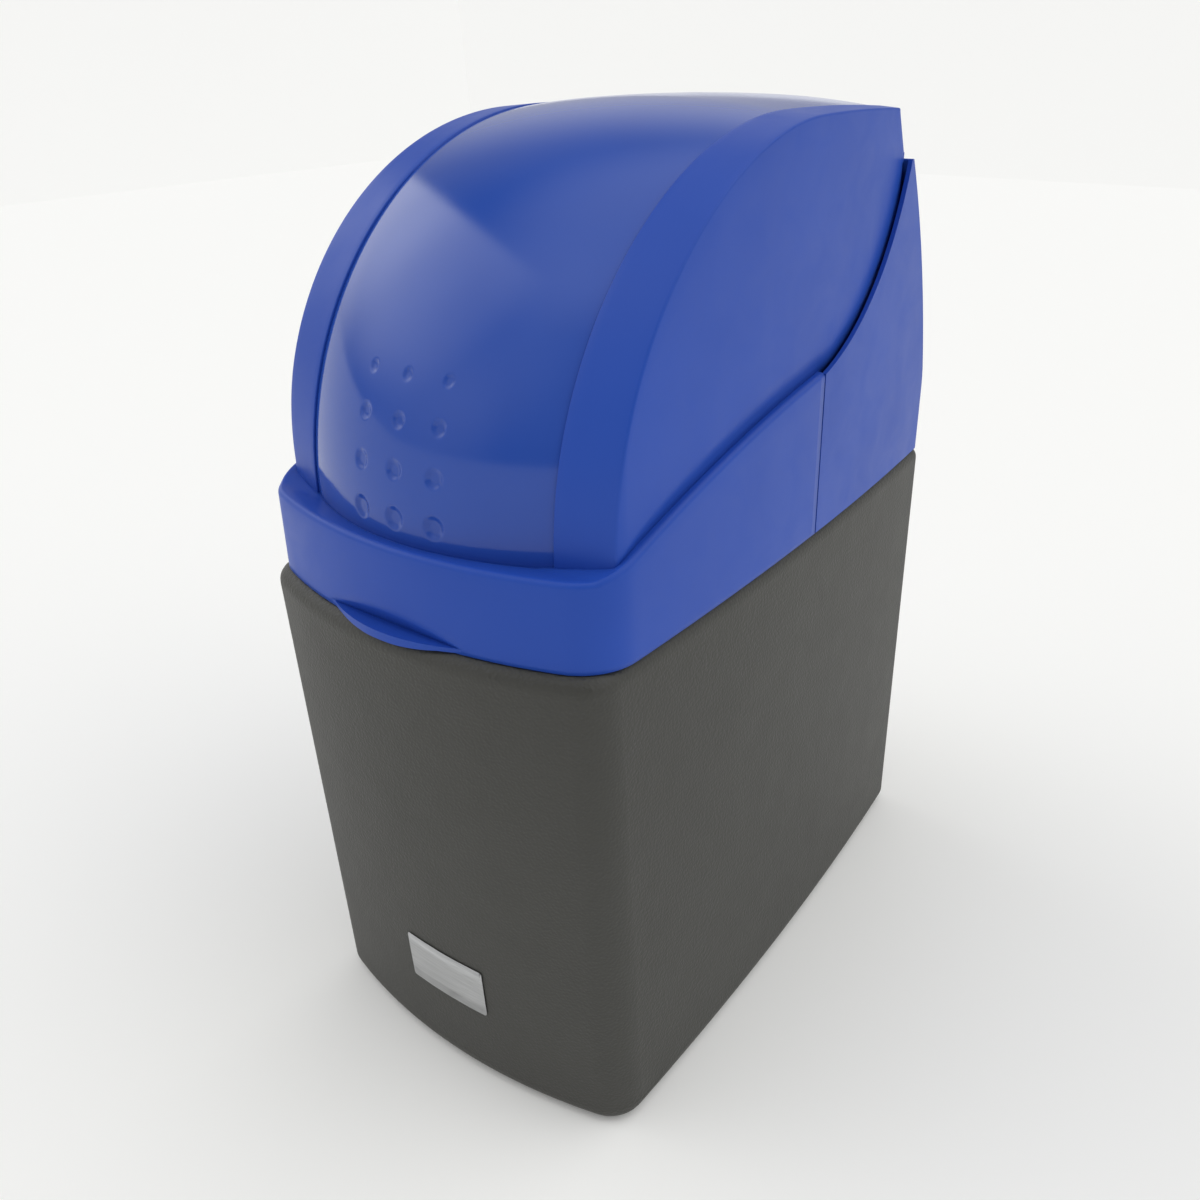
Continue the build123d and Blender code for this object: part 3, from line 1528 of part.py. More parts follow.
def overflow_elbow():
    """Elbow behind the tank, its shank through the wall, its spigot down."""
    start = cabinet_rear_y - overflow_shank_length
    flange_y = cabinet_rear_y + overflow_flange_thickness
    turn_y = flange_y + overflow_reach
    low_z = overflow_z - overflow_spigot_length - overflow_elbow_radius
    body = along_y(overflow_shank_radius, start, cabinet_rear_y, overflow_x, overflow_z)
    body += along_y(overflow_flange_radius, cabinet_rear_y, flange_y, overflow_x, overflow_z)
    body += along_y(overflow_elbow_radius, flange_y, turn_y, overflow_x, overflow_z)
    body += Pos(overflow_x, turn_y, overflow_z) * Sphere(overflow_elbow_radius)
    leg_low = overflow_z - overflow_elbow_radius - overflow_flange_thickness
    body += upright(overflow_elbow_radius, leg_low, overflow_z, overflow_x, turn_y)
    body += upright(overflow_spigot_radius, low_z, overflow_z, overflow_x, turn_y)
    body -= along_y(overflow_bore, start - overrun, turn_y, overflow_x, overflow_z)
    body -= Pos(overflow_x, turn_y, overflow_z) * Sphere(overflow_bore)
    return body - upright(overflow_bore, low_z - overrun, overflow_z, overflow_x, turn_y)


def overflow_seal():
    end = cabinet_rear_y - wall_cabinet - seat_gap
    ring = along_y(overflow_flange_radius, end - overflow_seal_thickness, end, overflow_x, overflow_z)
    bore = overflow_shank_radius + seat_gap
    return ring - along_y(bore, end - overrun, end + overrun, overflow_x, overflow_z)


def overflow_nut():
    end = cabinet_rear_y - wall_cabinet - 2 * seat_gap - overflow_seal_thickness
    hexagon = Plane.XZ * RegularPolygon(overflow_nut_radius, side_count=6)
    nut = Pos(overflow_x, end, overflow_z) * extrude(hexagon, amount=overflow_nut_thickness)
    bore = overflow_shank_radius + running_gap
    return nut - along_y(bore, end - overflow_nut_thickness - overrun, end + overrun, overflow_x, overflow_z)


def control_slab(inset, low_z, high_z):
    """Rounded slab of the controller, in the frame of its face."""
    width = control_width - 2 * inset
    length = control_length - 2 * inset
    outline = RectangleRounded(width, length, control_corner - inset)
    return Pos(0, 0, low_z) * extrude(outline, amount=high_z - low_z)


def control_case():
    """Open tray with posts for the circuit board and a hole for the power socket."""
    rim_z = -face_thickness - seat_gap
    floor_z = control_wall - control_depth
    case = control_slab(0, -control_depth, rim_z) - control_slab(control_wall, floor_z, overrun)
    post_top = -board_depth - board_thickness - seat_gap
    half_x = control_width / 2 - control_wall - board_margin - board_post_inset
    half_y = control_length / 2 - control_wall - board_margin - board_post_inset
    for x in (-half_x, half_x):
        for y in (-half_y, half_y):
            case += upright(board_post_radius, floor_z, post_top, x, y)
    start = control_width / 2 - 2 * control_wall
    case -= along_x(socket_radius + running_gap, start, control_width, socket_y, -socket_back)
    return control_frame * case


def control_face():
    face = control_slab(0, -face_thickness, 0)
    rim = face.edges().group_by(Axis.Z)[-1]
    face = fillet(rim, face_thickness / 3)
    opening = Rectangle(window_width, window_length)
    recess = Rectangle(window_width + 2 * window_frame, window_length + 2 * window_frame)
    face -= Pos(0, window_shift, -face_thickness) * extrude(opening, amount=face_thickness * 2)
    depth = window_thickness + seat_gap
    face -= Pos(0, window_shift, -face_thickness) * extrude(recess, amount=depth)
    for x in button_places:
        face -= upright(button_radius + 2 * running_gap, -face_thickness, face_thickness, x, button_row)
    return control_frame * face


def display_window():
    width = window_width + 2 * window_frame - 2 * seat_gap
    length = window_length + 2 * window_frame - 2 * seat_gap
    pane = extrude(Rectangle(width, length), amount=window_thickness)
    return control_frame * Pos(0, window_shift, -face_thickness) * pane


def circuit_board():
    inset = control_wall + board_margin
    width = control_width - 2 * inset
    length = control_length - 2 * inset
    board = extrude(Rectangle(width, length), amount=-board_thickness)
    return control_frame * Pos(0, 0, -board_depth) * board


def display_module():
    width = window_width - 2 * module_inset
    length = window_length - 2 * module_inset
    height = board_depth - face_thickness - 2 * seat_gap
    module = extrude(Rectangle(width, length), amount=height)
    return control_frame * Pos(0, window_shift, -board_depth + seat_gap) * module


def button(x):
    """Push button: a domed cap, a flange under the face and a stem to the board."""
    cap = upright(button_radius, -face_thickness - seat_gap, button_stand)
    cap = fillet(cap.edges().group_by(Axis.Z)[-1], button_stand / 3)
    flange_top = -face_thickness - seat_gap
    cap += upright(button_radius + button_flange, flange_top - button_flange_thickness, flange_top)
    stem_low = -board_depth + button_travel + 2 * seat_gap
    cap += upright(button_stem_radius, stem_low, flange_top)
    return control_frame * Pos(x, button_row, 0) * cap


def power_socket():
    """Low voltage inlet in the controller's side."""
    end = control_width / 2 + seat_gap
    start = end - socket_length
    z = -socket_back
    body = along_x(socket_radius, start, end, socket_y, z)
    body += along_x(socket_radius + socket_rim, end, end + socket_rim, socket_y, z)
    body -= along_x(socket_bore, start + socket_rim, end + overrun, socket_y, z)
    body += along_x(socket_pin, start, end, socket_y, z)
    return control_frame * body


def control_bracket():
    """Bracket from the gear plate to the controller: a sloping pad on two arms."""
    pad_top = -control_depth - seat_gap
    half = bracket_arm_x + bracket_arm_width / 2
    pad = block((-half, half), (0, bracket_pad_length), (pad_top - bracket_thickness, pad_top))
    bracket = control_frame * pad
    deep = pad_top - control_width
    below = control_frame * block((-half, half), (-control_length, control_length), (deep, pad_top))
    low = plate_top_z + seat_gap
    rear_y = vessel_y - bracket_rear_reach
    arms = []
    for side in (-1, 1):
        middle = side * bracket_arm_x
        x_range = (middle - bracket_arm_width / 2, middle + bracket_arm_width / 2)
        arms.append(block(x_range, (control_y, rear_y), (low, low + bracket_thickness)) & below)
    for arm in arms:
        bracket += arm
    return bracket


nodes = {
    "cabinet": cabinet,
    "lid": lid_with_hinge,
    "rear_cover": rear_cover,
    "rear_cover_screws": rear_cover_screws,
    "hinge_pins": hinge_pins,
    "hinge_bushes": hinge_bushes,
    "resin_vessel": resin_vessel,
    "vessel_boot": vessel_boot,
    "resin_bed": resin_bed,
    "riser_tube": riser_tube,
    "bottom_distributor": bottom_distributor,
    "top_distributor": top_distributor,
    "neck_seal": lambda: at_vessel * neck_seal_ring(seal_wire),
    "valve_body": valve_body,
    "fixed_disc": fixed_disc,
    "turning_disc": turning_disc,
    "disc_cover": disc_cover,
    "valve_screws": valve_screws,
    "drive_spindle": drive_spindle,
    "spindle_seal": spindle_seal,
    "drive_gear": drive_gear,
    "motor_pinion": motor_pinion,
    "gear_motor": gear_motor,
    "gear_plate": gear_plate,
    "position_switch": position_switch,
    "injector_cap": injector_cap,
    "injector_nozzle": injector_nozzle,
    "brine_elbow": brine_elbow,
    "brine_tube": brine_tube,
    "inlet_adapter": lambda: at_vessel * Pos(-port_x, 0, port_z) * adapter(),
    "outlet_adapter": lambda: at_vessel * Pos(port_x, 0, port_z) * adapter(),
    "adapter_seals": adapter_seals,
    "adapter_clips": adapter_clips,
    "flow_turbine": flow_turbine,
    "turbine_axle": turbine_axle,
    "turbine_cage": turbine_cage,
    "drain_spigot": drain_spigot,
    "brine_well": brine_well,
    "well_cap": well_cap,
    "float_valve": float_valve,
    "pickup_tube": pickup_tube,
    "float_rod": float_rod,
    "well_float": well_float,
    "check_cage": check_cage,
    "check_ball": check_ball,
    "salt_grid": salt_grid,
    "overflow_elbow": overflow_elbow,
    "overflow_seal": overflow_seal,
    "overflow_nut": overflow_nut,
    "control_case": control_case,
    "control_face": control_face,
    "display_window": display_window,
    "display_module": display_module,
    "circuit_board": circuit_board,
    "control_bracket": control_bracket,
    "power_socket": power_socket,
}
for number, place in enumerate(button_places, start=1):
    nodes["button_" + str(number)] = lambda x=place: button(x)

for name, make in nodes.items():
    shape = make()
    print(name, len(shape.solids()), "valid" if shape.is_valid else "NOT VALID")
    export_step(shape, "parts/" + name + ".step")
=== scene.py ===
from math import asin, atan2, cos, hypot, pi, radians, sin, sqrt

import bmesh
import bpy
from mathutils import Matrix, Vector
from mathutils.bvhtree import BVHTree


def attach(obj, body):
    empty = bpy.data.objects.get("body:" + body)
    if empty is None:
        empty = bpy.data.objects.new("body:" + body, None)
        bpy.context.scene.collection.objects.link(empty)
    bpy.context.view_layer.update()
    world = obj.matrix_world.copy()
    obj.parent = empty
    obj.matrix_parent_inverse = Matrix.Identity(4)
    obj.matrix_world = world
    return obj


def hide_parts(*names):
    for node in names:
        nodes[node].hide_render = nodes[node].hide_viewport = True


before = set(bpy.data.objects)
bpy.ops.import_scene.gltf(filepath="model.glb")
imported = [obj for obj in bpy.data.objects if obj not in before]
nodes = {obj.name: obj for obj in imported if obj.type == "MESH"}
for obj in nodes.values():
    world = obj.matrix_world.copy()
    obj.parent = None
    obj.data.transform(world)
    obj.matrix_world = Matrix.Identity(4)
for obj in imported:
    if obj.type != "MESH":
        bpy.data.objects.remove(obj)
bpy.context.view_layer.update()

# Compact cabinet water softener: grey salt tank, glossy blue lid, valve and resin vessel inside
# Metres, front towards -Y, +Z up, the floor at z = 0
mm = 0.001


def linearColour(hexText):
    # sRGB hex to the linear values the shaders use
    values = [int(hexText[i:i + 2], 16) / 255 for i in (1, 3, 5)]
    linear = [v / 12.92 if v <= 0.04045 else ((v + 0.055) / 1.055) ** 2.4 for v in values]
    return (*linear, 1.0)


def addNode(tree, kind, settings=None, inputs=None, links=None, stops=(), feeds=None):
    # one node with its settings, input values, colour stops, the links into it and the socket it feeds
    node = tree.nodes.new(kind)
    for name, value in (settings or {}).items():
        setattr(node, name, value)
    for i, (place, hexText) in enumerate(stops):
        stop = node.color_ramp.elements[i]
        stop.position, stop.color = place, linearColour(hexText)
    for name, value in (inputs or {}).items():
        node.inputs[name].default_value = value
    for name, source in (links or {}).items():
        tree.links.new(source, node.inputs[name])
    if feeds is not None:
        tree.links.new(node.outputs[0], feeds)
    return node


def newMaterial(name, values):
    # shader with its constant values set on its own sockets
    material = bpy.data.materials.new(name)
    material.use_nodes = True
    shader = material.node_tree.nodes["Principled BSDF"]
    for socket, value in values.items():
        shader.inputs[socket].default_value = value
    return material, material.node_tree, shader


def perMetre(sizeMm):
    # texture scale whose cells are this many millimetres wide
    return 1 / (sizeMm * mm)


# most of a noise texture lies between these two values
noiseReach = (0.3, 0.7)


cameraSettings = {
    "place": (0.45908, -0.61509, 0.64662),
    "right": (0.78548578, 0.61858946, -0.01895191),
    "up": (-0.25883032, 0.35617106, 0.89785803),
    "forward": (-0.56215563, 0.70034938, -0.43987701),
    "focalPixels": 1157.18,
    "imageWidth": 1200,
    "centrePixel": (602.23, 598.92),
    "sensorWidth": 36,  # mm
    "nearest": 0.01,
}


def makeCamera(settings):
    data = bpy.data.cameras.new("camera")
    data.sensor_width = settings["sensorWidth"]
    data.lens = settings["focalPixels"] / settings["imageWidth"] * data.sensor_width
    half = settings["imageWidth"] / 2
    data.shift_x = (half - settings["centrePixel"][0]) / settings["imageWidth"]
    data.shift_y = (settings["centrePixel"][1] - half) / settings["imageWidth"]
    data.clip_start = settings["nearest"]
    camera = bpy.data.objects.new("camera", data)
    right, up, forward = (Vector(settings[key]) for key in ("right", "up", "forward"))
    turn = Matrix((right, up, -forward)).transposed().to_4x4()
    camera.matrix_world = Matrix.Translation(settings["place"]) @ turn
    bpy.context.collection.objects.link(camera)
    bpy.context.scene.camera = camera


makeCamera(cameraSettings)
print("camera placed")

studio = {
    # paper: flat for so far, then rising to its edge, in metres
    "floorFlat": 5.0, "floorHalf": 12.0, "floorRise": 1.8,
    "floorColour": "#eeeeec", "floorGlow": 0.10, "floorRoughness": 0.95, "floorSheen": 0.1,
    # panels of light: (degrees round from the front towards +X, degrees up, strength)
    "wallPanels": [
        (-150, 10, 0.40), (-150, 40, 0.20), (-120, 10, 0.15), (-120, 40, 0.08), (-30, 40, 0.45), (0, 40, 0.25),
        (0, 8, 0.05), (-38, 6, 0.50), (28, 15, 0.05),
        (90, 10, 0.15), (90, 40, 0.75), (120, 40, 0.95), (150, 40, 0.55), (180, 40, 0.32),
    ],
    "wallSpread": 38, "ceiling": 1.22, "ceilingSpread": 45,
    # one large softbox at the front left, whose straight top edge shows in the gloss
    "softbox": [(-115, 20, 0.75), (-90, 30, 0.75), (-70, 40, 1.15)],
    "softboxSpread": 34, "softboxEdge": (0.52, 0.69, 0.49), "edgeBlur": 0.02,
    "backdrop": 0.93,
}


def makeFloor(settings):
    # one sheet of paper whose far edges turn up, so that no horizon shows
    corners = []
    for half, rise in ((settings["floorFlat"], 0), (settings["floorHalf"], settings["floorRise"])):
        corners += [(-half, -half, rise), (half, -half, rise), (half, half, rise), (-half, half, rise)]
    sides = [(i, (i + 1) % 4, (i + 1) % 4 + 4, i + 4) for i in range(4)]
    data = bpy.data.meshes.new("floor")
    data.from_pydata(corners, [], [(0, 1, 2, 3)] + sides)
    floor = bpy.data.objects.new("floor", data)
    bpy.context.collection.objects.link(floor)
    # Matt studio paper on a light table: pale and even
    paper, _, _ = newMaterial("studioPaper", {
        "Base Color": linearColour(settings["floorColour"]), "Roughness": settings["floorRoughness"],
        "Specular IOR Level": settings["floorSheen"],
        "Emission Color": (1, 1, 1, 1), "Emission Strength": settings["floorGlow"],
    })
    data.materials.append(paper)


def towards(azimuth, elevation):
    # unit direction: azimuth from the front (-Y) towards +X, elevation above the floor
    around, rise = radians(azimuth), radians(elevation)
    return Vector((sin(around) * cos(rise), -cos(around) * cos(rise), sin(rise)))


def addPanel(tree, before, direction, middle, spreadAngle, strength):
    # soft round patch of light on the studio wall, added to the light before it
    facing = addNode(tree, "ShaderNodeVectorMath", {"operation": "DOT_PRODUCT"}, links={0: direction})
    facing.inputs[1].default_value = middle
    patch = addNode(tree, "ShaderNodeMapRange", {"interpolation_type": "SMOOTHSTEP"}, {
        "From Min": cos(radians(spreadAngle)), "From Max": 1.0, "To Min": 0.0, "To Max": strength,
    }, {"Value": facing.outputs["Value"]}).outputs[0]
    if before is None:
        return patch
    return addNode(tree, "ShaderNodeMath", {"operation": "ADD"}, links={0: before, 1: patch}).outputs[0]


def makeStudio(settings):
    # the walls carry all the light; the side where the photographer stands stays dark
    world = bpy.data.worlds.new("studioWalls")
    world.use_nodes = True
    tree = world.node_tree
    direction = addNode(tree, "ShaderNodeTexCoord").outputs["Generated"]
    walls = box = None
    for around, up, strength in settings["wallPanels"]:
        walls = addPanel(tree, walls, direction, towards(around, up), settings["wallSpread"], strength)
    walls = addPanel(tree, walls, direction, Vector((0, 0, 1)), settings["ceilingSpread"], settings["ceiling"])
    for around, up, strength in settings["softbox"]:
        box = addPanel(tree, box, direction, towards(around, up), settings["softboxSpread"], strength)
    # the softbox ends at a plane through the object
    below = addNode(tree, "ShaderNodeVectorMath", {"operation": "DOT_PRODUCT"}, links={0: direction})
    below.inputs[1].default_value = -Vector(settings["softboxEdge"]).normalized()
    blur = settings["edgeBlur"]
    edge = addNode(tree, "ShaderNodeMapRange", {"interpolation_type": "SMOOTHSTEP"},
                   {"From Min": -blur, "From Max": blur}, {"Value": below.outputs["Value"]})
    cut = addNode(tree, "ShaderNodeMath", {"operation": "MULTIPLY"}, links={0: box, 1: edge.outputs[0]})
    light = addNode(tree, "ShaderNodeMath", {"operation": "ADD"}, links={0: walls, 1: cut.outputs[0]})
    # the walls are lit for the object alone; behind it stands a pale backdrop
    seen = addNode(tree, "ShaderNodeLightPath").outputs["Is Camera Ray"]
    strength = addNode(tree, "ShaderNodeMix", inputs={"B": settings["backdrop"]},
                       links={"Factor": seen, "A": light.outputs[0]})
    background = tree.nodes["Background"]
    background.inputs["Color"].default_value = (1, 1, 1, 1)
    tree.links.new(strength.outputs["Result"], background.inputs["Strength"])
    bpy.context.scene.world = world


makeFloor(studio)
makeStudio(studio)
bpy.context.scene.view_settings.view_transform = "Standard"
print("studio lit")


def mouldedPlastic(name, look):
    # plastic from a mould: colour that drifts a little, the mould's grain, gloss with faint handling marks
    material, tree, shader = newMaterial(name, {"IOR": look["ior"], **look.get("values", {})})
    place = addNode(tree, "ShaderNodeTexCoord").outputs["Object"]
    drift = addNode(tree, "ShaderNodeTexNoise", inputs={"Scale": perMetre(look["driftMm"]), "Detail": 3.0},
                    links={"Vector": place}).outputs["Fac"]
    addNode(tree, "ShaderNodeValToRGB", links={"Fac": drift},
            stops=zip(noiseReach, (look["dark"], look["light"])), feeds=shader.inputs["Base Color"])
    marks = addNode(tree, "ShaderNodeTexNoise", inputs={
        "Scale": perMetre(look["markMm"]), "Detail": 4.0, "Distortion": 0.6,
    }, links={"Vector": place}).outputs["Fac"]
    addNode(tree, "ShaderNodeMapRange", inputs={
        "From Min": noiseReach[0], "From Max": noiseReach[1],
        "To Min": look["roughness"][0], "To Max": look["roughness"][1],
    }, links={"Value": marks}, feeds=shader.inputs["Roughness"])
    normal = None
    for kind, sizeMm, depthMm in look["grain"]:
        if kind == "leather":
            pattern = addNode(tree, "ShaderNodeTexVoronoi", {"feature": "SMOOTH_F1"}, {
                "Scale": perMetre(sizeMm), "Smoothness": 0.6,
            }, {"Vector": place}).outputs["Distance"]
        else:
            pattern = addNode(tree, "ShaderNodeTexNoise", inputs={"Scale": perMetre(sizeMm), "Detail": 2.0},
                              links={"Vector": place}).outputs["Fac"]
        bump = addNode(tree, "ShaderNodeBump", inputs={"Distance": depthMm * mm, "Strength": 1.0},
                       links={"Height": pattern})
        if normal:
            tree.links.new(normal, bump.inputs["Normal"])
        normal = bump.outputs["Normal"]
    tree.links.new(normal, shader.inputs["Normal"])
    return material


# Polypropylene, injection moulded in a polished tool: deep blue, mirror-like with a slight ripple
glossyLidLook = {
    "dark": "#294da8", "light": "#2c51ae", "driftMm": 120, "markMm": 45, "roughness": (0.10, 0.13), "ior": 1.42,
    "grain": [("ripple", 9.0, 0.006)],
}
glossyPolypropylene = mouldedPlastic("glossyPolypropylene", glossyLidLook)

# The same polypropylene from spark-eroded parts of the tool: satin, its highlights spread wide
# The real grain is 0.15 mm, drawn at 0.9 mm so that it still shows
satinLidLook = {
    "dark": "#244bac", "light": "#274fb2", "driftMm": 140, "markMm": 30, "roughness": (0.36, 0.44), "ior": 1.31,
    "grain": [("spark", 0.9, 0.012), ("ripple", 14.0, 0.008)],
}
satinPolypropylene = mouldedPlastic("satinPolypropylene", satinLidLook)

# Polyethylene, rotationally moulded: warm dark grey, a leathery grain and a dull sheen
# The real grain is about 1 mm wide, drawn at 1.9 mm so that it still shows
tankLook = {
    "dark": "#363632", "light": "#3a3a36", "driftMm": 200, "markMm": 25, "roughness": (0.53, 0.57), "ior": 1.51,
    "grain": [("leather", 1.9, 0.36), ("pits", 0.9, 0.10)],
}
grainedPolyethylene = mouldedPlastic("grainedPolyethylene", tankLook)

# Black polyethylene boot, blow moulded: even, slightly waxy
bootLook = {
    "dark": "#18181a", "light": "#1e1e20", "driftMm": 80, "markMm": 20, "roughness": (0.42, 0.52), "ior": 1.51,
    "grain": [("ripple", 6.0, 0.02)],
}
waxyPolyethylene = mouldedPlastic("waxyPolyethylene", bootLook)

# Glass-filled nylon, injection moulded: near black, dry and slightly mottled by its fibres
nylonLook = {
    "dark": "#1b1c1e", "light": "#242629", "driftMm": 7, "markMm": 4, "roughness": (0.40, 0.56), "ior": 1.53,
    "grain": [("fibres", 1.2, 0.02)],
}
glassFilledNylon = mouldedPlastic("glassFilledNylon", nylonLook)

# White polypropylene and PVC, injection moulded: soft white that lets a little light in
whiteLook = {
    "dark": "#dededa", "light": "#e8e8e4", "driftMm": 40, "markMm": 12, "roughness": (0.30, 0.40), "ior": 1.49,
    "grain": [("ripple", 4.0, 0.01)], "values": {"Subsurface Weight": 0.08, "Subsurface Scale": 0.003},
}
whitePolypropylene = mouldedPlastic("whitePolypropylene", whiteLook)

# Natural acetal, machined and moulded: creamy and smooth, as gears are
acetalLook = {
    "dark": "#e7e1d0", "light": "#efe9da", "driftMm": 25, "markMm": 8, "roughness": (0.24, 0.34), "ior": 1.48,
    "grain": [("flow", 3.0, 0.008)], "values": {"Subsurface Weight": 0.1, "Subsurface Scale": 0.003},
}
naturalAcetal = mouldedPlastic("naturalAcetal", acetalLook)

# Grey ABS, injection moulded with a fine texture: even mid grey
# Its 0.15 mm texture is drawn at 0.9 mm so that it still shows
absLook = {
    "dark": "#6f7377", "light": "#787c80", "driftMm": 50, "markMm": 10, "roughness": (0.40, 0.50), "ior": 1.53,
    "grain": [("spark", 0.9, 0.012)],
}
texturedAbs = mouldedPlastic("texturedAbs", absLook)

# Blue acetal of the float, the turbine and the first button: light blue and smooth
blueAcetalLook = {
    "dark": "#2b66b8", "light": "#3370c4", "driftMm": 20, "markMm": 8, "roughness": (0.28, 0.38), "ior": 1.48,
    "grain": [("flow", 3.0, 0.008)],
}
blueAcetal = mouldedPlastic("blueAcetal", blueAcetalLook)

# EPDM rubber, moulded: black, soft sheen, dusted with talc
# Talc is far finer than the 0.8 mm grain that stands for it
rubberLook = {
    "dark": "#151516", "light": "#232324", "driftMm": 5, "markMm": 3, "roughness": (0.62, 0.78), "ior": 1.52,
    "grain": [("talc", 0.8, 0.01)],
}
mouldedRubber = mouldedPlastic("mouldedRubber", rubberLook)

# Alumina ceramic, lapped: ivory, flat and faintly shiny
# Lapping marks are drawn 1 mm wide so that they show at all
aluminaLook = {
    "dark": "#e2dccd", "light": "#e9e4d6", "driftMm": 15, "markMm": 6, "roughness": (0.12, 0.20), "ior": 1.76,
    "grain": [("lapping", 1.0, 0.002)],
}
lappedAlumina = mouldedPlastic("lappedAlumina", aluminaLook)


def turnedMetal(name, look):
    # metal with fine tool marks that spread its highlights one way
    material, tree, shader = newMaterial(name, {"Metallic": 1.0, "Anisotropic": look["anisotropy"]})
    place = addNode(tree, "ShaderNodeTexCoord").outputs["Object"]
    stretched = addNode(tree, "ShaderNodeMapping", inputs={"Scale": look["stretch"]}, links={"Vector": place})
    marks = addNode(tree, "ShaderNodeTexNoise", inputs={"Scale": perMetre(look["markMm"]), "Detail": 5.0},
                    links={"Vector": stretched.outputs["Vector"]}).outputs["Fac"]
    addNode(tree, "ShaderNodeValToRGB", links={"Fac": marks},
            stops=[(0.35, look["dark"]), (0.65, look["light"])], feeds=shader.inputs["Base Color"])
    addNode(tree, "ShaderNodeMapRange", inputs={
        "From Min": noiseReach[0], "From Max": noiseReach[1],
        "To Min": look["roughness"][0], "To Max": look["roughness"][1],
    }, links={"Value": marks}, feeds=shader.inputs["Roughness"])
    addNode(tree, "ShaderNodeBump", inputs={"Distance": look["depthMm"] * mm, "Strength": 1.0},
            links={"Height": marks}, feeds=shader.inputs["Normal"])
    return material


# Stainless steel, turned and rolled: cool grey with streaks along the piece
# Tool marks are 0.1 mm apart, drawn at 1.5 mm so that they show
steelLook = {
    "dark": "#a9abab", "light": "#c6c8c8", "markMm": 1.5, "stretch": (1, 1, 0.08), "roughness": (0.24, 0.38),
    "depthMm": 0.004, "anisotropy": 0.4,
}
turnedSteel = turnedMetal("turnedSteel", steelLook)

# Brass, hobbed: yellow, with cutting marks along its teeth
brassLook = {
    "dark": "#b98f45", "light": "#d1a95c", "markMm": 1.2, "stretch": (1, 1, 0.1), "roughness": (0.26, 0.40),
    "depthMm": 0.004, "anisotropy": 0.3,
}
hobbedBrass = turnedMetal("hobbedBrass", brassLook)

# Aluminium foil plate, brushed along its length and clear lacquered: pale silver with fine level lines
# Brush lines are 0.1 mm apart, drawn at 1.1 mm so that they show
plateLook = {
    "dark": "#b2b3b4", "light": "#c4c5c6", "markMm": 1.1, "stretch": (0.03, 1, 1), "roughness": (0.30, 0.42),
    "depthMm": 0.003, "anisotropy": 0.6,
}
brushedAluminium = turnedMetal("brushedAluminium", plateLook)


def makeWoundVessel(look):
    # glass fibre wound over a liner and soaked in resin: crossing bands under a glossy amber skin
    material, tree, shader = newMaterial("woundGlassFibre", {
        "IOR": 1.54, "Coat Weight": look["coat"], "Coat Roughness": look["coatRoughness"],
    })
    place = addNode(tree, "ShaderNodeTexCoord").outputs["Object"]
    bands = []
    for turn in (look["windingAngle"], -look["windingAngle"]):
        turned = addNode(tree, "ShaderNodeMapping", inputs={"Rotation": (0, radians(turn), radians(turn))},
                         links={"Vector": place})
        wave = addNode(tree, "ShaderNodeTexWave", {"bands_direction": "Z"}, {
            "Scale": perMetre(look["bandMm"]) / (2 * pi), "Distortion": 1.5, "Detail": 2.0, "Detail Scale": 2.0,
        }, {"Vector": turned.outputs["Vector"]})
        bands.append(wave.outputs["Fac"])
    both = addNode(tree, "ShaderNodeMath", {"operation": "MULTIPLY"}, links={0: bands[0], 1: bands[1]}).outputs[0]
    addNode(tree, "ShaderNodeValToRGB", links={"Fac": both},
            stops=[(0, look["dark"]), (1, look["light"])], feeds=shader.inputs["Base Color"])
    addNode(tree, "ShaderNodeBump", inputs={"Distance": look["depthMm"] * mm, "Strength": 1.0},
            links={"Height": both}, feeds=shader.inputs["Normal"])
    return material


vesselLook = {
    "dark": "#a98f5e", "light": "#cdb88a", "windingAngle": 35, "bandMm": 6, "depthMm": 0.15,
    "coat": 0.35, "coatRoughness": 0.12,
}
woundGlassFibre = makeWoundVessel(vesselLook)


def makeResinBeads(look):
    # ion exchange resin, cast as tiny beads: wet amber grains, with painted shade in the gaps between them
    # A real bead is 0.6 mm wide, drawn at 1.4 mm so that it shows
    material, tree, shader = newMaterial("amberResinBeads", {"IOR": 1.4, "Roughness": look["roughness"]})
    place = addNode(tree, "ShaderNodeTexCoord").outputs["Object"]
    beads = addNode(tree, "ShaderNodeTexVoronoi", inputs={"Scale": perMetre(look["beadMm"])},
                    links={"Vector": place}).outputs["Distance"]
    # light in each bead's middle, dark towards its edge: painted shade in the gaps between the beads
    addNode(tree, "ShaderNodeValToRGB", links={"Fac": beads},
            stops=[(0.1, look["light"]), (0.7, look["dark"])], feeds=shader.inputs["Base Color"])
    addNode(tree, "ShaderNodeBump", {"invert": True}, {"Distance": look["beadMm"] * mm / 2, "Strength": 1.0},
            {"Height": beads}, feeds=shader.inputs["Normal"])
    return material


beadLook = {"dark": "#5a2c0c", "light": "#b8721f", "beadMm": 1.4, "roughness": 0.25}
amberResinBeads = makeResinBeads(beadLook)


def makeBoard(look):
    # glass-epoxy board under green solder mask: copper tracks show as raised, lighter lines
    material, tree, shader = newMaterial("maskedBoard", {"IOR": 1.5, "Roughness": look["roughness"]})
    place = addNode(tree, "ShaderNodeTexCoord").outputs["Object"]
    tracks = addNode(tree, "ShaderNodeTexBrick", {"offset": 0.37}, {
        "Scale": 1.0, "Brick Width": look["trackMm"] * 5 * mm, "Row Height": look["trackMm"] * mm,
        "Mortar Size": look["gapMm"] * mm, "Mortar Smooth": 0.1,
    }, {"Vector": place}).outputs["Fac"]
    addNode(tree, "ShaderNodeValToRGB", links={"Fac": tracks},
            stops=[(0, look["light"]), (1, look["dark"])], feeds=shader.inputs["Base Color"])
    addNode(tree, "ShaderNodeBump", {"invert": True}, {"Distance": look["copperMm"] * mm, "Strength": 1.0},
            {"Height": tracks}, feeds=shader.inputs["Normal"])
    return material


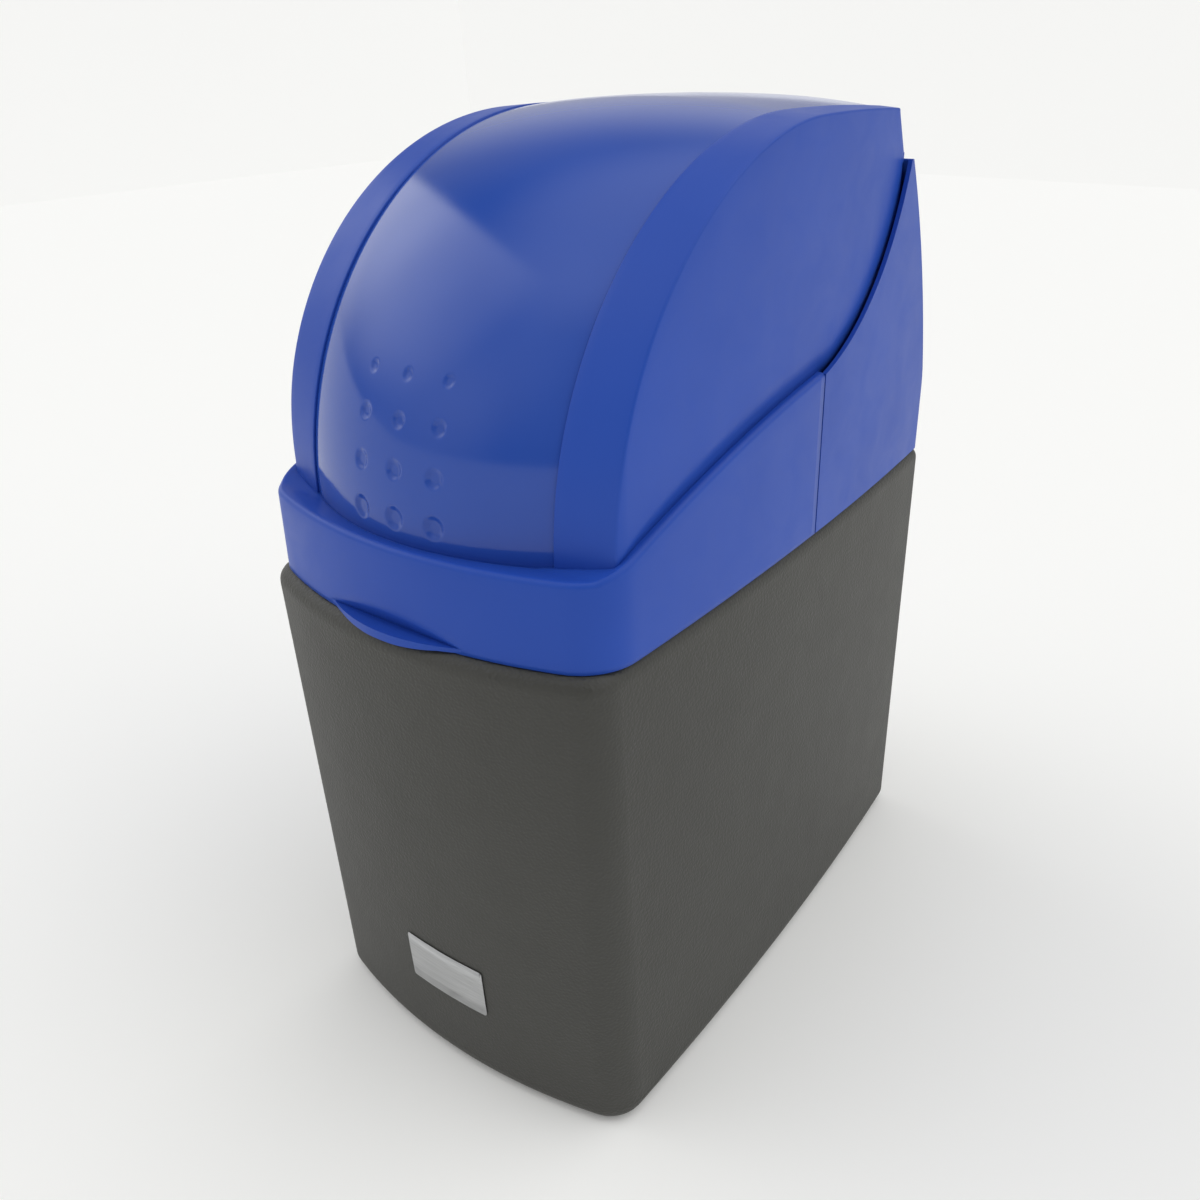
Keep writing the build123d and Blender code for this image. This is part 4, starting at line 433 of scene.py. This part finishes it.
boardLook = {
    "dark": "#0f3d24", "light": "#1f6338", "trackMm": 2.2, "gapMm": 0.5, "copperMm": 0.04, "roughness": 0.32,
}
maskedBoard = makeBoard(boardLook)


def makeWindow(look):
    # smoked acrylic, polished: a dark pane that shows a dim module behind it
    material, tree, shader = newMaterial("smokedAcrylic", {"IOR": 1.49, "Transmission Weight": look["clearness"]})
    place = addNode(tree, "ShaderNodeTexCoord").outputs["Object"]
    haze = addNode(tree, "ShaderNodeTexNoise", inputs={"Scale": perMetre(look["hazeMm"]), "Detail": 3.0},
                   links={"Vector": place}).outputs["Fac"]
    addNode(tree, "ShaderNodeValToRGB", links={"Fac": haze},
            stops=zip(noiseReach, (look["dark"], look["light"])), feeds=shader.inputs["Base Color"])
    addNode(tree, "ShaderNodeMapRange", inputs={
        "To Min": look["roughness"][0], "To Max": look["roughness"][1],
    }, links={"Value": haze}, feeds=shader.inputs["Roughness"])
    return material


windowLook = {"dark": "#2a2d30", "light": "#3a3e42", "hazeMm": 12, "clearness": 0.75, "roughness": (0.03, 0.09)}
smokedAcrylic = makeWindow(windowLook)


def makeDisplay(look):
    # liquid crystal glass, switched off: grey-green with a faint dot matrix
    material, tree, shader = newMaterial("crystalDisplay", {"IOR": 1.52, "Roughness": look["roughness"]})
    place = addNode(tree, "ShaderNodeTexCoord").outputs["Object"]
    dots = addNode(tree, "ShaderNodeTexVoronoi", {"distance": "CHEBYCHEV"}, {
        "Scale": perMetre(look["dotMm"]), "Randomness": 0.0,
    }, {"Vector": place}).outputs["Distance"]
    addNode(tree, "ShaderNodeValToRGB", links={"Fac": dots},
            stops=[(0.3, look["light"]), (0.5, look["dark"])], feeds=shader.inputs["Base Color"])
    return material


displayLook = {"dark": "#5d6a55", "light": "#77866d", "dotMm": 1.2, "roughness": 0.2}
crystalDisplay = makeDisplay(displayLook)
print("materials made")


# plan outline of the casing, shared by the lid, the rear cover and the seam
casing = {
    "frontWidth": 270, "seamWidth": 252, "rearWidth": 207,
    "skirtFrontY": -237.5, "seamY": 27, "skirtRearY": 240, "skirtBow": 30, "cornerRadius": 36,
}


def circleThrough(a, b, c):
    # centre and radius of the circle through three points in a plane
    ax, ay, bx, by, cx, cy = *a, *b, *c
    double = 2 * (ax * (by - cy) + bx * (cy - ay) + cx * (ay - by))
    aa, bb, cc = ax**2 + ay**2, bx**2 + by**2, cx**2 + cy**2
    x = (aa * (by - cy) + bb * (cy - ay) + cc * (ay - by)) / double
    y = (aa * (cx - bx) + bb * (ax - cx) + cc * (bx - ax)) / double
    return Vector((x, y)), hypot(ax - x, ay - y)


class Outline:
    # right half of the plan outline at an inset: bowed front, rounded corner, bowed side
    def __init__(self, inset):
        shape = casing
        frontY = shape["skirtFrontY"] + inset
        tip = (shape["frontWidth"] / 2 - inset, shape["skirtFrontY"] + shape["skirtBow"] + inset)
        seam = (shape["seamWidth"] / 2 - inset, shape["seamY"])
        rear = (shape["rearWidth"] / 2 - inset, shape["skirtRearY"] - inset)
        self.front, self.frontRadius = circleThrough((-tip[0], tip[1]), (0, frontY), tip)
        self.side, self.sideRadius = circleThrough(tip, seam, rear)
        self.radius = shape["cornerRadius"] - inset
        # the corner circle touches both arcs from inside
        fromFront, fromSide = self.frontRadius - self.radius, self.sideRadius - self.radius
        apart = self.side - self.front
        along = (fromFront**2 - fromSide**2 + apart.length**2) / (2 * apart.length)
        across = sqrt(fromFront**2 - along**2)
        unit = apart / apart.length
        options = [self.front + unit * along + Vector((-unit.y, unit.x)) * across * s for s in (-1, 1)]
        self.corner = min(options, key=lambda p: (p - Vector(tip)).length)
        self.frontEnd = self.front + (self.corner - self.front).normalized() * self.frontRadius
        self.sideStart = self.side + (self.corner - self.side).normalized() * self.sideRadius

    def frontAt(self, x):
        return self.front.y - sqrt(self.frontRadius**2 - (x - self.front.x) ** 2)

    def sideAt(self, y):
        if y >= self.sideStart.y:
            return self.side.x + sqrt(self.sideRadius**2 - (y - self.side.y) ** 2)
        drop = max(self.corner.y - y, 0)
        return self.corner.x + sqrt(max(self.radius**2 - drop**2, 0))

    def corners(self, count):
        # points round the corner, from the front arc to the side arc
        start = atan2(self.frontEnd.y - self.corner.y, self.frontEnd.x - self.corner.x)
        end = atan2(self.sideStart.y - self.corner.y, self.sideStart.x - self.corner.x)
        turns = [start + (end - start) * i / count for i in range(count + 1)]
        return [(self.corner.x + self.radius * cos(t), self.corner.y + self.radius * sin(t)) for t in turns]


lidShape = {
    # millimetres; profiles and centres in the side view are (y, z)
    "lowZ": 344.3, "wall": 3,
    # ledge round the foot of the dome, level at the front, rising to the seam
    "ledgeFrontZ": 397, "ledgeStartY": -205, "ledgeMiddle": (-84, 434), "ledgeRadius": 3.5,
    "ledgeFall": 3, "fallEndY": -180, "fallRun": 30,
    # sweeping rear edge, and how far the cheek goes on behind the rear cover
    "sweepCentre": (-13, 622), "sweepRadius": 173.6, "tuckUnder": 10, "tuckRun": 20,
    # lines of the dome, each (reach, rise, top) of a quarter ellipse that springs forward from domeY
    "panelEdge": (216.5, 205.5, 604), "panelCrown": (241, 211, 611),
    "ridge": (218, 205, 605), "arris": (206, 190, 602),
    "domeY": 16, "domeInset": 5.5, "ridgeX": 95, "arrisX": 131, "arrisRadius": 1.4,
    "topFall": 4.5, "backTopY": 136, "backFoot": (151, 572),
    # dimples, row by row from the top, and the slit near the crown
    "dimpleRows": (485, 462, 436, 409), "dimpleRadii": (3.6, 4.8, 6.0, 7.0),
    "dimpleDepths": (0.9, 1.2, 1.5, 1.7), "dimplePitch": 28.5, "dimpleFlat": 1.35, "dimpleMargin": 9,
    "slitLength": 68, "slitWidth": 1.6, "slitDepth": 0.9, "slitFlank": 0.2, "slitY": 15,
    # finger lip and the scoop above it
    "lipHalfWidth": 57, "lipReach": 7, "lipThickness": 2.7, "lipDrop": 2.5, "lipNose": 6.5,
    "scoopDepth": 5, "scoopHeight": 10, "scoopLeast": 2,
    # how fine the mesh is
    "coarseStep": 4.0, "fineStep": 0.9, "lipStep": 1.5, "sideStep": 6, "cornerSteps": 12,
    "footLevels": 8, "wallLevels": 8, "ledgeLevels": 6, "scoopLevels": 6, "edgeLevels": 5,
    "ridgeSteps": 3, "arrisSteps": 4,
    "fineHalf": 37, "panelColumns": (91, 93, 95), "bandShares": (0.04, 0.16, 0.32, 0.474, 0.65, 0.82),
}


def spread(start, end, step):
    # even values from start to end, about one step apart
    count = max(1, round(abs(end - start) / step))
    return [start + (end - start) * i / count for i in range(count + 1)]


def joined(*runs):
    # runs of values one after another, without repeating where they meet
    values = list(runs[0])
    for run in runs[1:]:
        values += run[1:]
    return values


def domeRow(curve, part, share):
    # point (y, z) of a dome profile: its upright front, quarter ellipse, falling top or leaning back
    reach, rise, top = curve
    shape = lidShape
    springZ = top - rise
    if part == "front":
        lowZ = shape["ledgeFrontZ"] - shape["ledgeFall"] - shape["wall"]
        return shape["domeY"] - reach, lowZ + (springZ - lowZ) * share
    if part == "quarter":
        turn = share * pi / 2
        return shape["domeY"] - reach * cos(turn), springZ + rise * sin(turn)
    endZ = top - shape["topFall"]
    if part == "top":
        y = shape["domeY"] + (shape["backTopY"] - shape["domeY"]) * share
        # the fall starts level and steepens, as an arc does
        return y, top - shape["topFall"] * share**2
    footY, footZ = shape["backFoot"]
    return shape["backTopY"] + (footY - shape["backTopY"]) * share, endZ + (footZ - endZ) * share


def ledgeZ(y):
    # height of the ledge round the foot of the dome, and of the sweeping rear edge behind the seam
    shape = lidShape
    cy, cz = shape["sweepCentre"]
    if y > casing["seamY"]:
        return cz - sqrt(max(shape["sweepRadius"] ** 2 - (y - cy) ** 2, 0))
    start = (shape["ledgeStartY"], shape["ledgeFrontZ"])
    end = (casing["seamY"], cz - sqrt(shape["sweepRadius"] ** 2 - (casing["seamY"] - cy) ** 2))
    if y <= start[0]:
        return start[1]
    centre, radius = circleThrough(start, shape["ledgeMiddle"], end)
    side = 1 if centre.y < start[1] else -1
    return centre.y + side * sqrt(radius**2 - (y - centre.x) ** 2)


def dimpleDepth(x, z):
    # how far the panel is pressed in at a place
    shape = lidShape
    depth = 0
    for rowZ, radius, deep in zip(shape["dimpleRows"], shape["dimpleRadii"], shape["dimpleDepths"]):
        for column in (-1, 0, 1):
            distance = hypot(x - column * shape["dimplePitch"], z - rowZ) / radius
            if distance < 1:
                depth = max(depth, deep * min(1, (1 - distance**2) * shape["dimpleFlat"]))
    return depth


def domeRows():
    # (part, share) for the rows of the dome above its front, close together over the dimples
    shape = lidShape
    _, rise, top = shape["panelCrown"]
    quarterPerRise, nearTop, backStep = 0.64, 0.985, 0.12
    highest = max(shape["dimpleRows"]) + shape["dimpleMargin"]
    dimplesEnd = asin((highest - (top - rise)) / rise) / (pi / 2)
    fine, coarse = (shape[step] / rise * quarterPerRise for step in ("fineStep", "coarseStep"))
    quarter = joined(spread(0, dimplesEnd, fine), spread(dimplesEnd, nearTop, coarse))
    quarter += [nearTop + (1 - nearTop) * i / 3 for i in (1, 2)]
    rows = [("quarter", share) for share in quarter]
    topRun = shape["backTopY"] - shape["domeY"]
    rows += [("top", share) for share in spread(0, 1, shape["coarseStep"] / topRun)]
    rows += [("back", share) for share in spread(0, 1, backStep)[1:]]
    return rows


def addGrid(mesh, points, slotIndex, flip=False):
    # quads over a grid of points, a list of rows
    rows = [[mesh.verts.new(Vector(p) * mm) for p in row] for row in points]
    for low, high in zip(rows, rows[1:]):
        for i in range(len(low) - 1):
            corners = [low[i], low[i + 1], high[i + 1], high[i]]
            face = mesh.faces.new(corners[::-1] if flip else corners)
            face.material_index = slotIndex
            face.smooth = True


weldMm, sliverMm, sharpDegrees = 0.02, 0.01, 35


def finishPiece(mesh, name, body, materials, wall=0, stands=()):
    # weld, drop slivers, give it its wall, and turn the mesh into a piece that rides on its body
    bmesh.ops.remove_doubles(mesh, verts=mesh.verts, dist=weldMm * mm)
    bmesh.ops.dissolve_degenerate(mesh, edges=mesh.edges, dist=sliverMm * mm)
    data = bpy.data.meshes.new(name)
    mesh.to_mesh(data)
    mesh.free()
    data.set_sharp_from_angle(angle=radians(sharpDegrees))
    for material in materials:
        data.materials.append(material)
    piece = bpy.data.objects.new(name, data)
    bpy.context.collection.objects.link(piece)
    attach(piece, body)
    if stands:
        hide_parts(*stands)
    if wall:
        modifier = piece.modifiers.new("wall", "SOLIDIFY")
        modifier.thickness, modifier.offset = wall * mm, -1
    return piece


def panelPoint(x, part, share):
    # a point of the sunk middle panel, pressed in where a dimple or the slit lies
    shape = lidShape
    crown = 1 - (x / shape["ridgeX"]) ** 2
    edge = domeRow(shape["panelEdge"], part, share)
    middle = domeRow(shape["panelCrown"], part, share)
    y, z = (e + (m - e) * crown for e, m in zip(edge, middle))
    depth = dimpleDepth(x, z)
    if part in ("quarter", "top") and abs(x) < shape["slitLength"] / 2:
        offset = abs(y - shape["slitY"]) - shape["slitWidth"] / 2
        depth = max(depth, shape["slitDepth"] * min(1, max(0, -offset / shape["slitFlank"])))
    if depth:
        turn = share * pi / 2 if part == "quarter" else pi / 2
        reach, rise, _ = shape["panelCrown"]
        normal = Vector((-cos(turn) / reach, sin(turn) / rise)).normalized()
        y, z = y - normal.x * depth, z - normal.y * depth
    return x, y, z


def bandPoint(share, part, rowShare, side, cheek):
    # a point of the sloping band between the ridge and the arris; share 1 is the arris
    shape = lidShape
    ridge = domeRow(shape["ridge"], part, rowShare)
    arris = domeRow(shape["arris"], part, rowShare)
    width = shape["arrisX"] - shape["ridgeX"]
    # the arris lies on the cheek, which leans in with y: a few rounds find the place
    end, rounds = 1.0, 4
    for _ in range(rounds):
        y = ridge[0] + (arris[0] - ridge[0]) * end
        end = (cheek.sideAt(y) - shape["ridgeX"]) / width
    v = end * share
    y, z = (r + (a - r) * v for r, a in zip(ridge, arris))
    return side * (shape["ridgeX"] + width * v), y, z


def inwardOf(curve, part, share):
    # unit direction into the dome, in the side view, at a row of a profile
    shape = lidShape
    if part in ("front", "foot"):
        return Vector((1 if part == "front" else -1, 0))
    if part == "quarter":
        turn = share * pi / 2
        return Vector((cos(turn) / curve[0], -sin(turn) / curve[1])).normalized()
    if part == "top":
        return Vector((0, -1))
    endZ = curve[2] - shape["topFall"]
    run, drop = shape["backFoot"][0] - shape["backTopY"], endZ - shape["backFoot"][1]
    return Vector((-drop, -run)).normalized()


def rounded(before, corner, after, count):
    # points of a small round edge between two faces
    ends = [Vector(point) for point in (before, corner, after)]
    points = []
    for i in range(count + 1):
        t = i / count
        points.append(tuple(ends[0] * (1 - t) ** 2 + ends[1] * 2 * t * (1 - t) + ends[2] * t**2))
    return points


def makeDome(mesh):
    # the dome: sunk panel, two steps, two bands and two cheeks
    shape = lidShape
    cheek = Outline(shape["domeInset"])
    levels = shape["footLevels"]
    rows = [("front", i / levels) for i in range(levels)] + domeRows()
    rows += [("foot", i / levels) for i in range(1, levels + 1)]
    footY, footZ = shape["backFoot"]
    footEnd = ledgeZ(footY)
    sweepY, sweepZ = shape["sweepCentre"]

    def place(point, part, share):
        # the rows of the foot hang straight down from the last row of the back
        return (point[0], footY, footZ + (footEnd - footZ) * share) if part == "foot" else point

    columnsEnd = shape["panelColumns"][0]
    half = joined(spread(0, shape["fineHalf"], shape["fineStep"]),
                  spread(shape["fineHalf"], columnsEnd, shape["coarseStep"]), list(shape["panelColumns"]))
    xs = [-x for x in half[:0:-1]] + half
    sources = [("back", 1) if part == "foot" else (part, share) for part, share in rows]
    panel = [[place(panelPoint(x, *source), *row) for x in xs] for source, row in zip(sources, rows)]
    addGrid(mesh, panel, 0)
    radius = shape["arrisRadius"]
    for side in (-1, 1):
        band = []
        for source, row in zip(sources, rows):
            line = [bandPoint(v, *source, side, cheek) for v in shape["bandShares"]]
            ridge, arris = (bandPoint(v, *source, side, cheek) for v in (0, 1))
            length = (Vector(arris) - Vector(ridge)).length
            near = bandPoint(1 - radius / length, *source, side, cheek)
            inward = inwardOf(shape["arris"], *row) * radius
            y = arris[1] + inward.x
            over = (side * cheek.sideAt(y), y, arris[2] + inward.y)
            low = (ridge[0], ridge[1] + inward.x, ridge[2] + inward.y)
            line = rounded(low, ridge, line[0], shape["ridgeSteps"]) + line[1:]
            line += rounded(near, arris, over, shape["arrisSteps"])
            band.append([place(point, *row) for point in line])
        edge = [line[0] if side < 0 else line[-1] for line in panel]
        step = [[p, q[0]] for p, q in zip(edge, band)]
        addGrid(mesh, step, 1, flip=side < 0)
        addGrid(mesh, band, 1, flip=side < 0)
        # the cheek hangs from the arris, down into the ledge or in under the rear cover's edge
        top = [line[-1] for line in band]
        columns = [top[: levels + 1]]
        for x, y, z in top[levels + 1 : len(top) - levels]:
            if y <= casing["seamY"]:
                low = ledgeZ(y) - shape["wall"]
            else:
                share = min((y - casing["seamY"]) / shape["tuckRun"], 1)
                reach = shape["wall"] + (shape["tuckUnder"] - shape["wall"]) * share
                low = sweepZ - sqrt((shape["sweepRadius"] + reach) ** 2 - (y - sweepY) ** 2)
            columns.append([(x, y, low + (z - low) * i / levels) for i in range(levels + 1)])
        addGrid(mesh, columns, 2, flip=side > 0)


def domeFootY(x):
    # front of the dome at its foot, midway in its wall
    shape = lidShape
    ridge, arris = shape["ridge"][0], shape["arris"][0]
    if x <= shape["ridgeX"]:
        edge, crown = shape["panelEdge"][0], shape["panelCrown"][0]
        reach = edge + (crown - edge) * (1 - (x / shape["ridgeX"]) ** 2)
    else:
        reach = ridge - (ridge - arris) * (x - shape["ridgeX"]) / (shape["arrisX"] - shape["ridgeX"])
    return shape["domeY"] - reach + shape["wall"] / 2


def skirtColumns():
    # (outer point, inner point) pairs from the front centre round to the seam
    shape = lidShape
    outer, inner = Outline(0), Outline(shape["domeInset"] + shape["wall"] / 2)
    lipEnd = shape["lipHalfWidth"]
    xs = joined(spread(0, lipEnd, shape["lipStep"]), spread(lipEnd, outer.frontEnd.x, shape["coarseStep"]))
    pairs = [((x, outer.frontAt(x)), (x, domeFootY(x))) for x in xs]
    # round the corner the inner points follow the foot of the dome to its bend, then the cheek
    arrisY = shape["domeY"] - shape["arris"][0] + shape["wall"] / 2
    bend = (inner.sideAt(arrisY), arrisY)
    start, end = pairs[-1][1], (inner.sideAt(outer.sideStart.y), outer.sideStart.y)
    count = shape["cornerSteps"]
    for i, point in enumerate(outer.corners(count)[1:], start=1):
        share = 2 * i / count
        a, b, s = (start, bend, share) if share <= 1 else (bend, end, share - 1)
        pairs.append((point, (a[0] + (b[0] - a[0]) * s, a[1] + (b[1] - a[1]) * s)))
    for y in spread(outer.sideStart.y, casing["seamY"], shape["sideStep"])[1:]:
        pairs.append(((outer.sideAt(y), y), (inner.sideAt(y), y)))
    return pairs


def skirtColumn(outerPoint, innerPoint):
    # one line of the skirt: up the wall, over the rounded edge and in along the ledge
    shape = lidShape
    x, y = outerPoint
    inward = (Vector(innerPoint) - Vector(outerPoint)).normalized()
    lipTop = shape["lowZ"] + shape["lipThickness"]
    # above the lip the wall leans back into the scoop
    deepY = casing["skirtFrontY"] + shape["scoopDepth"]
    slope = shape["scoopDepth"] / shape["scoopHeight"]
    scooped = x < shape["lipHalfWidth"]
    scoopRise = max((deepY - y) / slope if scooped else 0, shape["scoopLeast"])
    points = [(x, y, shape["lowZ"])]
    for i in range(shape["scoopLevels"] + 1):
        rise = scoopRise * i / shape["scoopLevels"]
        points.append((x, max(y, deepY - slope * rise) if scooped else y, lipTop + rise))
    radius, count = shape["ledgeRadius"], shape["wallLevels"]
    startZ, edgeZ = points[-1][2], ledgeZ(y) - radius
    points += [(x, y, startZ + (edgeZ - startZ) * i / count) for i in range(1, count + 1)]
    for i in range(1, shape["edgeLevels"] + 1):
        turn = i / shape["edgeLevels"] * pi / 2
        move = inward * radius * (1 - cos(turn))
        px, py = x + move.x, y + move.y
        points.append((px, py, ledgeZ(py) - radius * (1 - sin(turn))))
    px, py, _ = points[-1]
    # at the front the ledge slopes in towards the dome
    fall = shape["ledgeFall"] * min(max((shape["fallEndY"] - y) / shape["fallRun"], 0), 1)
    for i in range(1, shape["ledgeLevels"] + 1):
        share = i / shape["ledgeLevels"]
        lx, ly = px + (innerPoint[0] - px) * share, py + (innerPoint[1] - py) * share
        points.append((lx, ly, ledgeZ(ly) - fall * share))
    return points


def makeSkirt(mesh):
    columns = [skirtColumn(*pair) for pair in skirtColumns()]
    for side in (-1, 1):
        addGrid(mesh, [[(side * x, y, z) for x, y, z in column] for column in columns], 1, flip=side > 0)


def makeLip(mesh):
    # finger lip: a lens in plan, its underside sloping down to the nose
    shape = lidShape
    front, half = casing["skirtFrontY"], shape["lipHalfWidth"]
    root = front + shape["scoopDepth"] + shape["wall"]
    centre, radius = circleThrough((-half, root), (0, front - shape["lipReach"]), (half, root))
    top, low = shape["lowZ"] + shape["lipThickness"], shape["lowZ"]
    rows = []
    for x in spread(-half, half, 2 * shape["lipStep"]):
        y = centre.y - sqrt(radius**2 - x**2)
        run = min(max(front - y, 0), shape["lipNose"])
        under = low - shape["lipDrop"] * run / shape["lipNose"]
        section = [(root, top), ((y + root) / 2, top), (y, top), (y, under), (max(front, y), low), (root, low)]
        rows.append([(x, *point) for point in section])
    addGrid(mesh, rows, 1)


lugShape = {
    "startX": 84, "width": 7, "radius": 5.6, "axis": (151, 572), "pinRadius": 3.75,
    "topZ": 592, "topY": 136, "ribRise": 3, "segments": 40,
}


def roundBar(mesh, startX, endX):
    # ring along X round the hinge pin
    shape = lugShape
    y, z = shape["axis"]
    bore, radius, count = shape["pinRadius"], shape["radius"], shape["segments"]
    rings = []
    for x, r in ((startX, bore), (startX, radius), (endX, radius), (endX, bore), (startX, bore)):
        turns = [2 * pi * i / count for i in range(count + 1)]
        rings.append([(x, y + r * cos(t), z + r * sin(t)) for t in turns])
    addGrid(mesh, rings, 1, flip=startX > 0)


def makeLugs(mesh):
    # two knuckles inside the rear edge of the lid, each on its rib
    shape = lugShape
    y, z = shape["axis"]
    for side in (-1, 1):
        startX, endX = sorted((side * shape["startX"], side * (shape["startX"] + shape["width"])))
        roundBar(mesh, startX, endX)
        rib = [
            (y - shape["radius"], z), (y - shape["pinRadius"], z + shape["ribRise"]),
            (shape["topY"], shape["topZ"]), (shape["topY"] - 2 * shape["radius"], shape["topZ"]),
        ]
        addGrid(mesh, [[(x, *point) for point in rib + rib[:1]] for x in (startX, endX)], 1, flip=True)
        for x, flip in ((startX, False), (endX, True)):
            addGrid(mesh, [[(x, *rib[0]), (x, *rib[1])], [(x, *rib[3]), (x, *rib[2])]], 1, flip=flip)


def makeLid(materials):
    # dome and skirt are sheets with a wall; lip and lugs are closed shapes of their own
    for make, name, wall in (
        (makeDome, "lidDome", lidShape["wall"]), (makeSkirt, "lidSkirt", lidShape["wall"]),
        (makeLip, "lidLip", 0), (makeLugs, "lidLugs", 0),
    ):
        mesh = bmesh.new()
        make(mesh)
        piece = finishPiece(mesh, name, "lid_body", materials, wall, ["lid"])


# slots: the polished middle panel, then the satin bands and cheeks
makeLid([glossyPolypropylene, satinPolypropylene, satinPolypropylene])
print("lid made")

plate = {
    # lowest left and highest right corner, seen from the front, in mm
    "low": (-27.0, 63.0), "high": (40.0, 102.0), "cornerRadius": 2.0, "thickness": 0.5,
    "step": 3.0, "levels": 4, "cornerSteps": 4,
}


def wallPoint(wall, x, z, proud):
    # point on the cabinet's leaning front wall, and a little in front of it
    place, normal, _, _ = wall.ray_cast(Vector((x * mm, -1.0, z * mm)), Vector((0, 1, 0)))
    return (place + normal * proud * mm) / mm


def makePlate(settings, material):
    # bare foil plate, bent to the wall
    wall = BVHTree.FromObject(nodes["cabinet"], bpy.context.evaluated_depsgraph_get())
    (lowX, lowZ), (highX, highZ) = settings["low"], settings["high"]
    radius, proud = settings["cornerRadius"], settings["thickness"]
    count, levels = settings["cornerSteps"], settings["levels"]
    ends = [radius * (1 - cos(i / count * pi / 2)) for i in range(count + 1)]
    xs = [lowX + v for v in ends] + spread(lowX + radius, highX - radius, settings["step"])[1:-1]
    xs += [highX - v for v in ends[::-1]]
    rows = []
    for x in xs:
        depth = radius - min(x - lowX, highX - x, radius)
        cut = radius - sqrt(max(radius**2 - depth**2, 0))
        low, high = (wallPoint(wall, x, z, proud)[2] for z in (lowZ + cut, highZ - cut))
        rows.append([wallPoint(wall, x, low + (high - low) * i / levels, proud) for i in range(levels + 1)])
    mesh = bmesh.new()
    addGrid(mesh, rows, 0)
    piece = finishPiece(mesh, "ratingPlate", "cabinet_body", [material], proud)


makePlate(plate, brushedAluminium)
print("plate made")

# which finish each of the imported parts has
finishes = {
    grainedPolyethylene: ["cabinet"],
    satinPolypropylene: ["lid", "rear_cover"],
    woundGlassFibre: ["resin_vessel"],
    waxyPolyethylene: ["vessel_boot"],
    amberResinBeads: ["resin_bed"],
    whitePolypropylene: [
        "riser_tube", "bottom_distributor", "top_distributor", "injector_nozzle", "brine_elbow",
        "brine_tube", "inlet_adapter", "outlet_adapter", "turbine_cage", "brine_well", "well_cap",
        "float_valve", "pickup_tube", "float_rod", "check_cage", "salt_grid", "button_2", "button_3", "button_4",
    ],
    naturalAcetal: ["hinge_bushes", "drive_gear"],
    blueAcetal: ["flow_turbine", "well_float", "button_1"],
    glassFilledNylon: [
        "valve_body", "disc_cover", "position_switch", "drain_spigot", "overflow_elbow", "overflow_nut",
        "control_case", "power_socket",
    ],
    texturedAbs: ["gear_plate", "injector_cap", "adapter_clips", "control_face"],
    mouldedRubber: ["neck_seal", "spindle_seal", "adapter_seals", "check_ball", "overflow_seal"],
    lappedAlumina: ["fixed_disc", "turning_disc"],
    turnedSteel: [
        "rear_cover_screws", "hinge_pins", "valve_screws", "drive_spindle", "gear_motor", "turbine_axle",
        "control_bracket",
    ],
    hobbedBrass: ["motor_pinion"],
    smokedAcrylic: ["display_window"],
    crystalDisplay: ["display_module"],
    maskedBoard: ["circuit_board"],
}
for finish, names in finishes.items():
    for name in names:
        for place in nodes[name].material_slots:
            place.material = finish
print("parts finished")
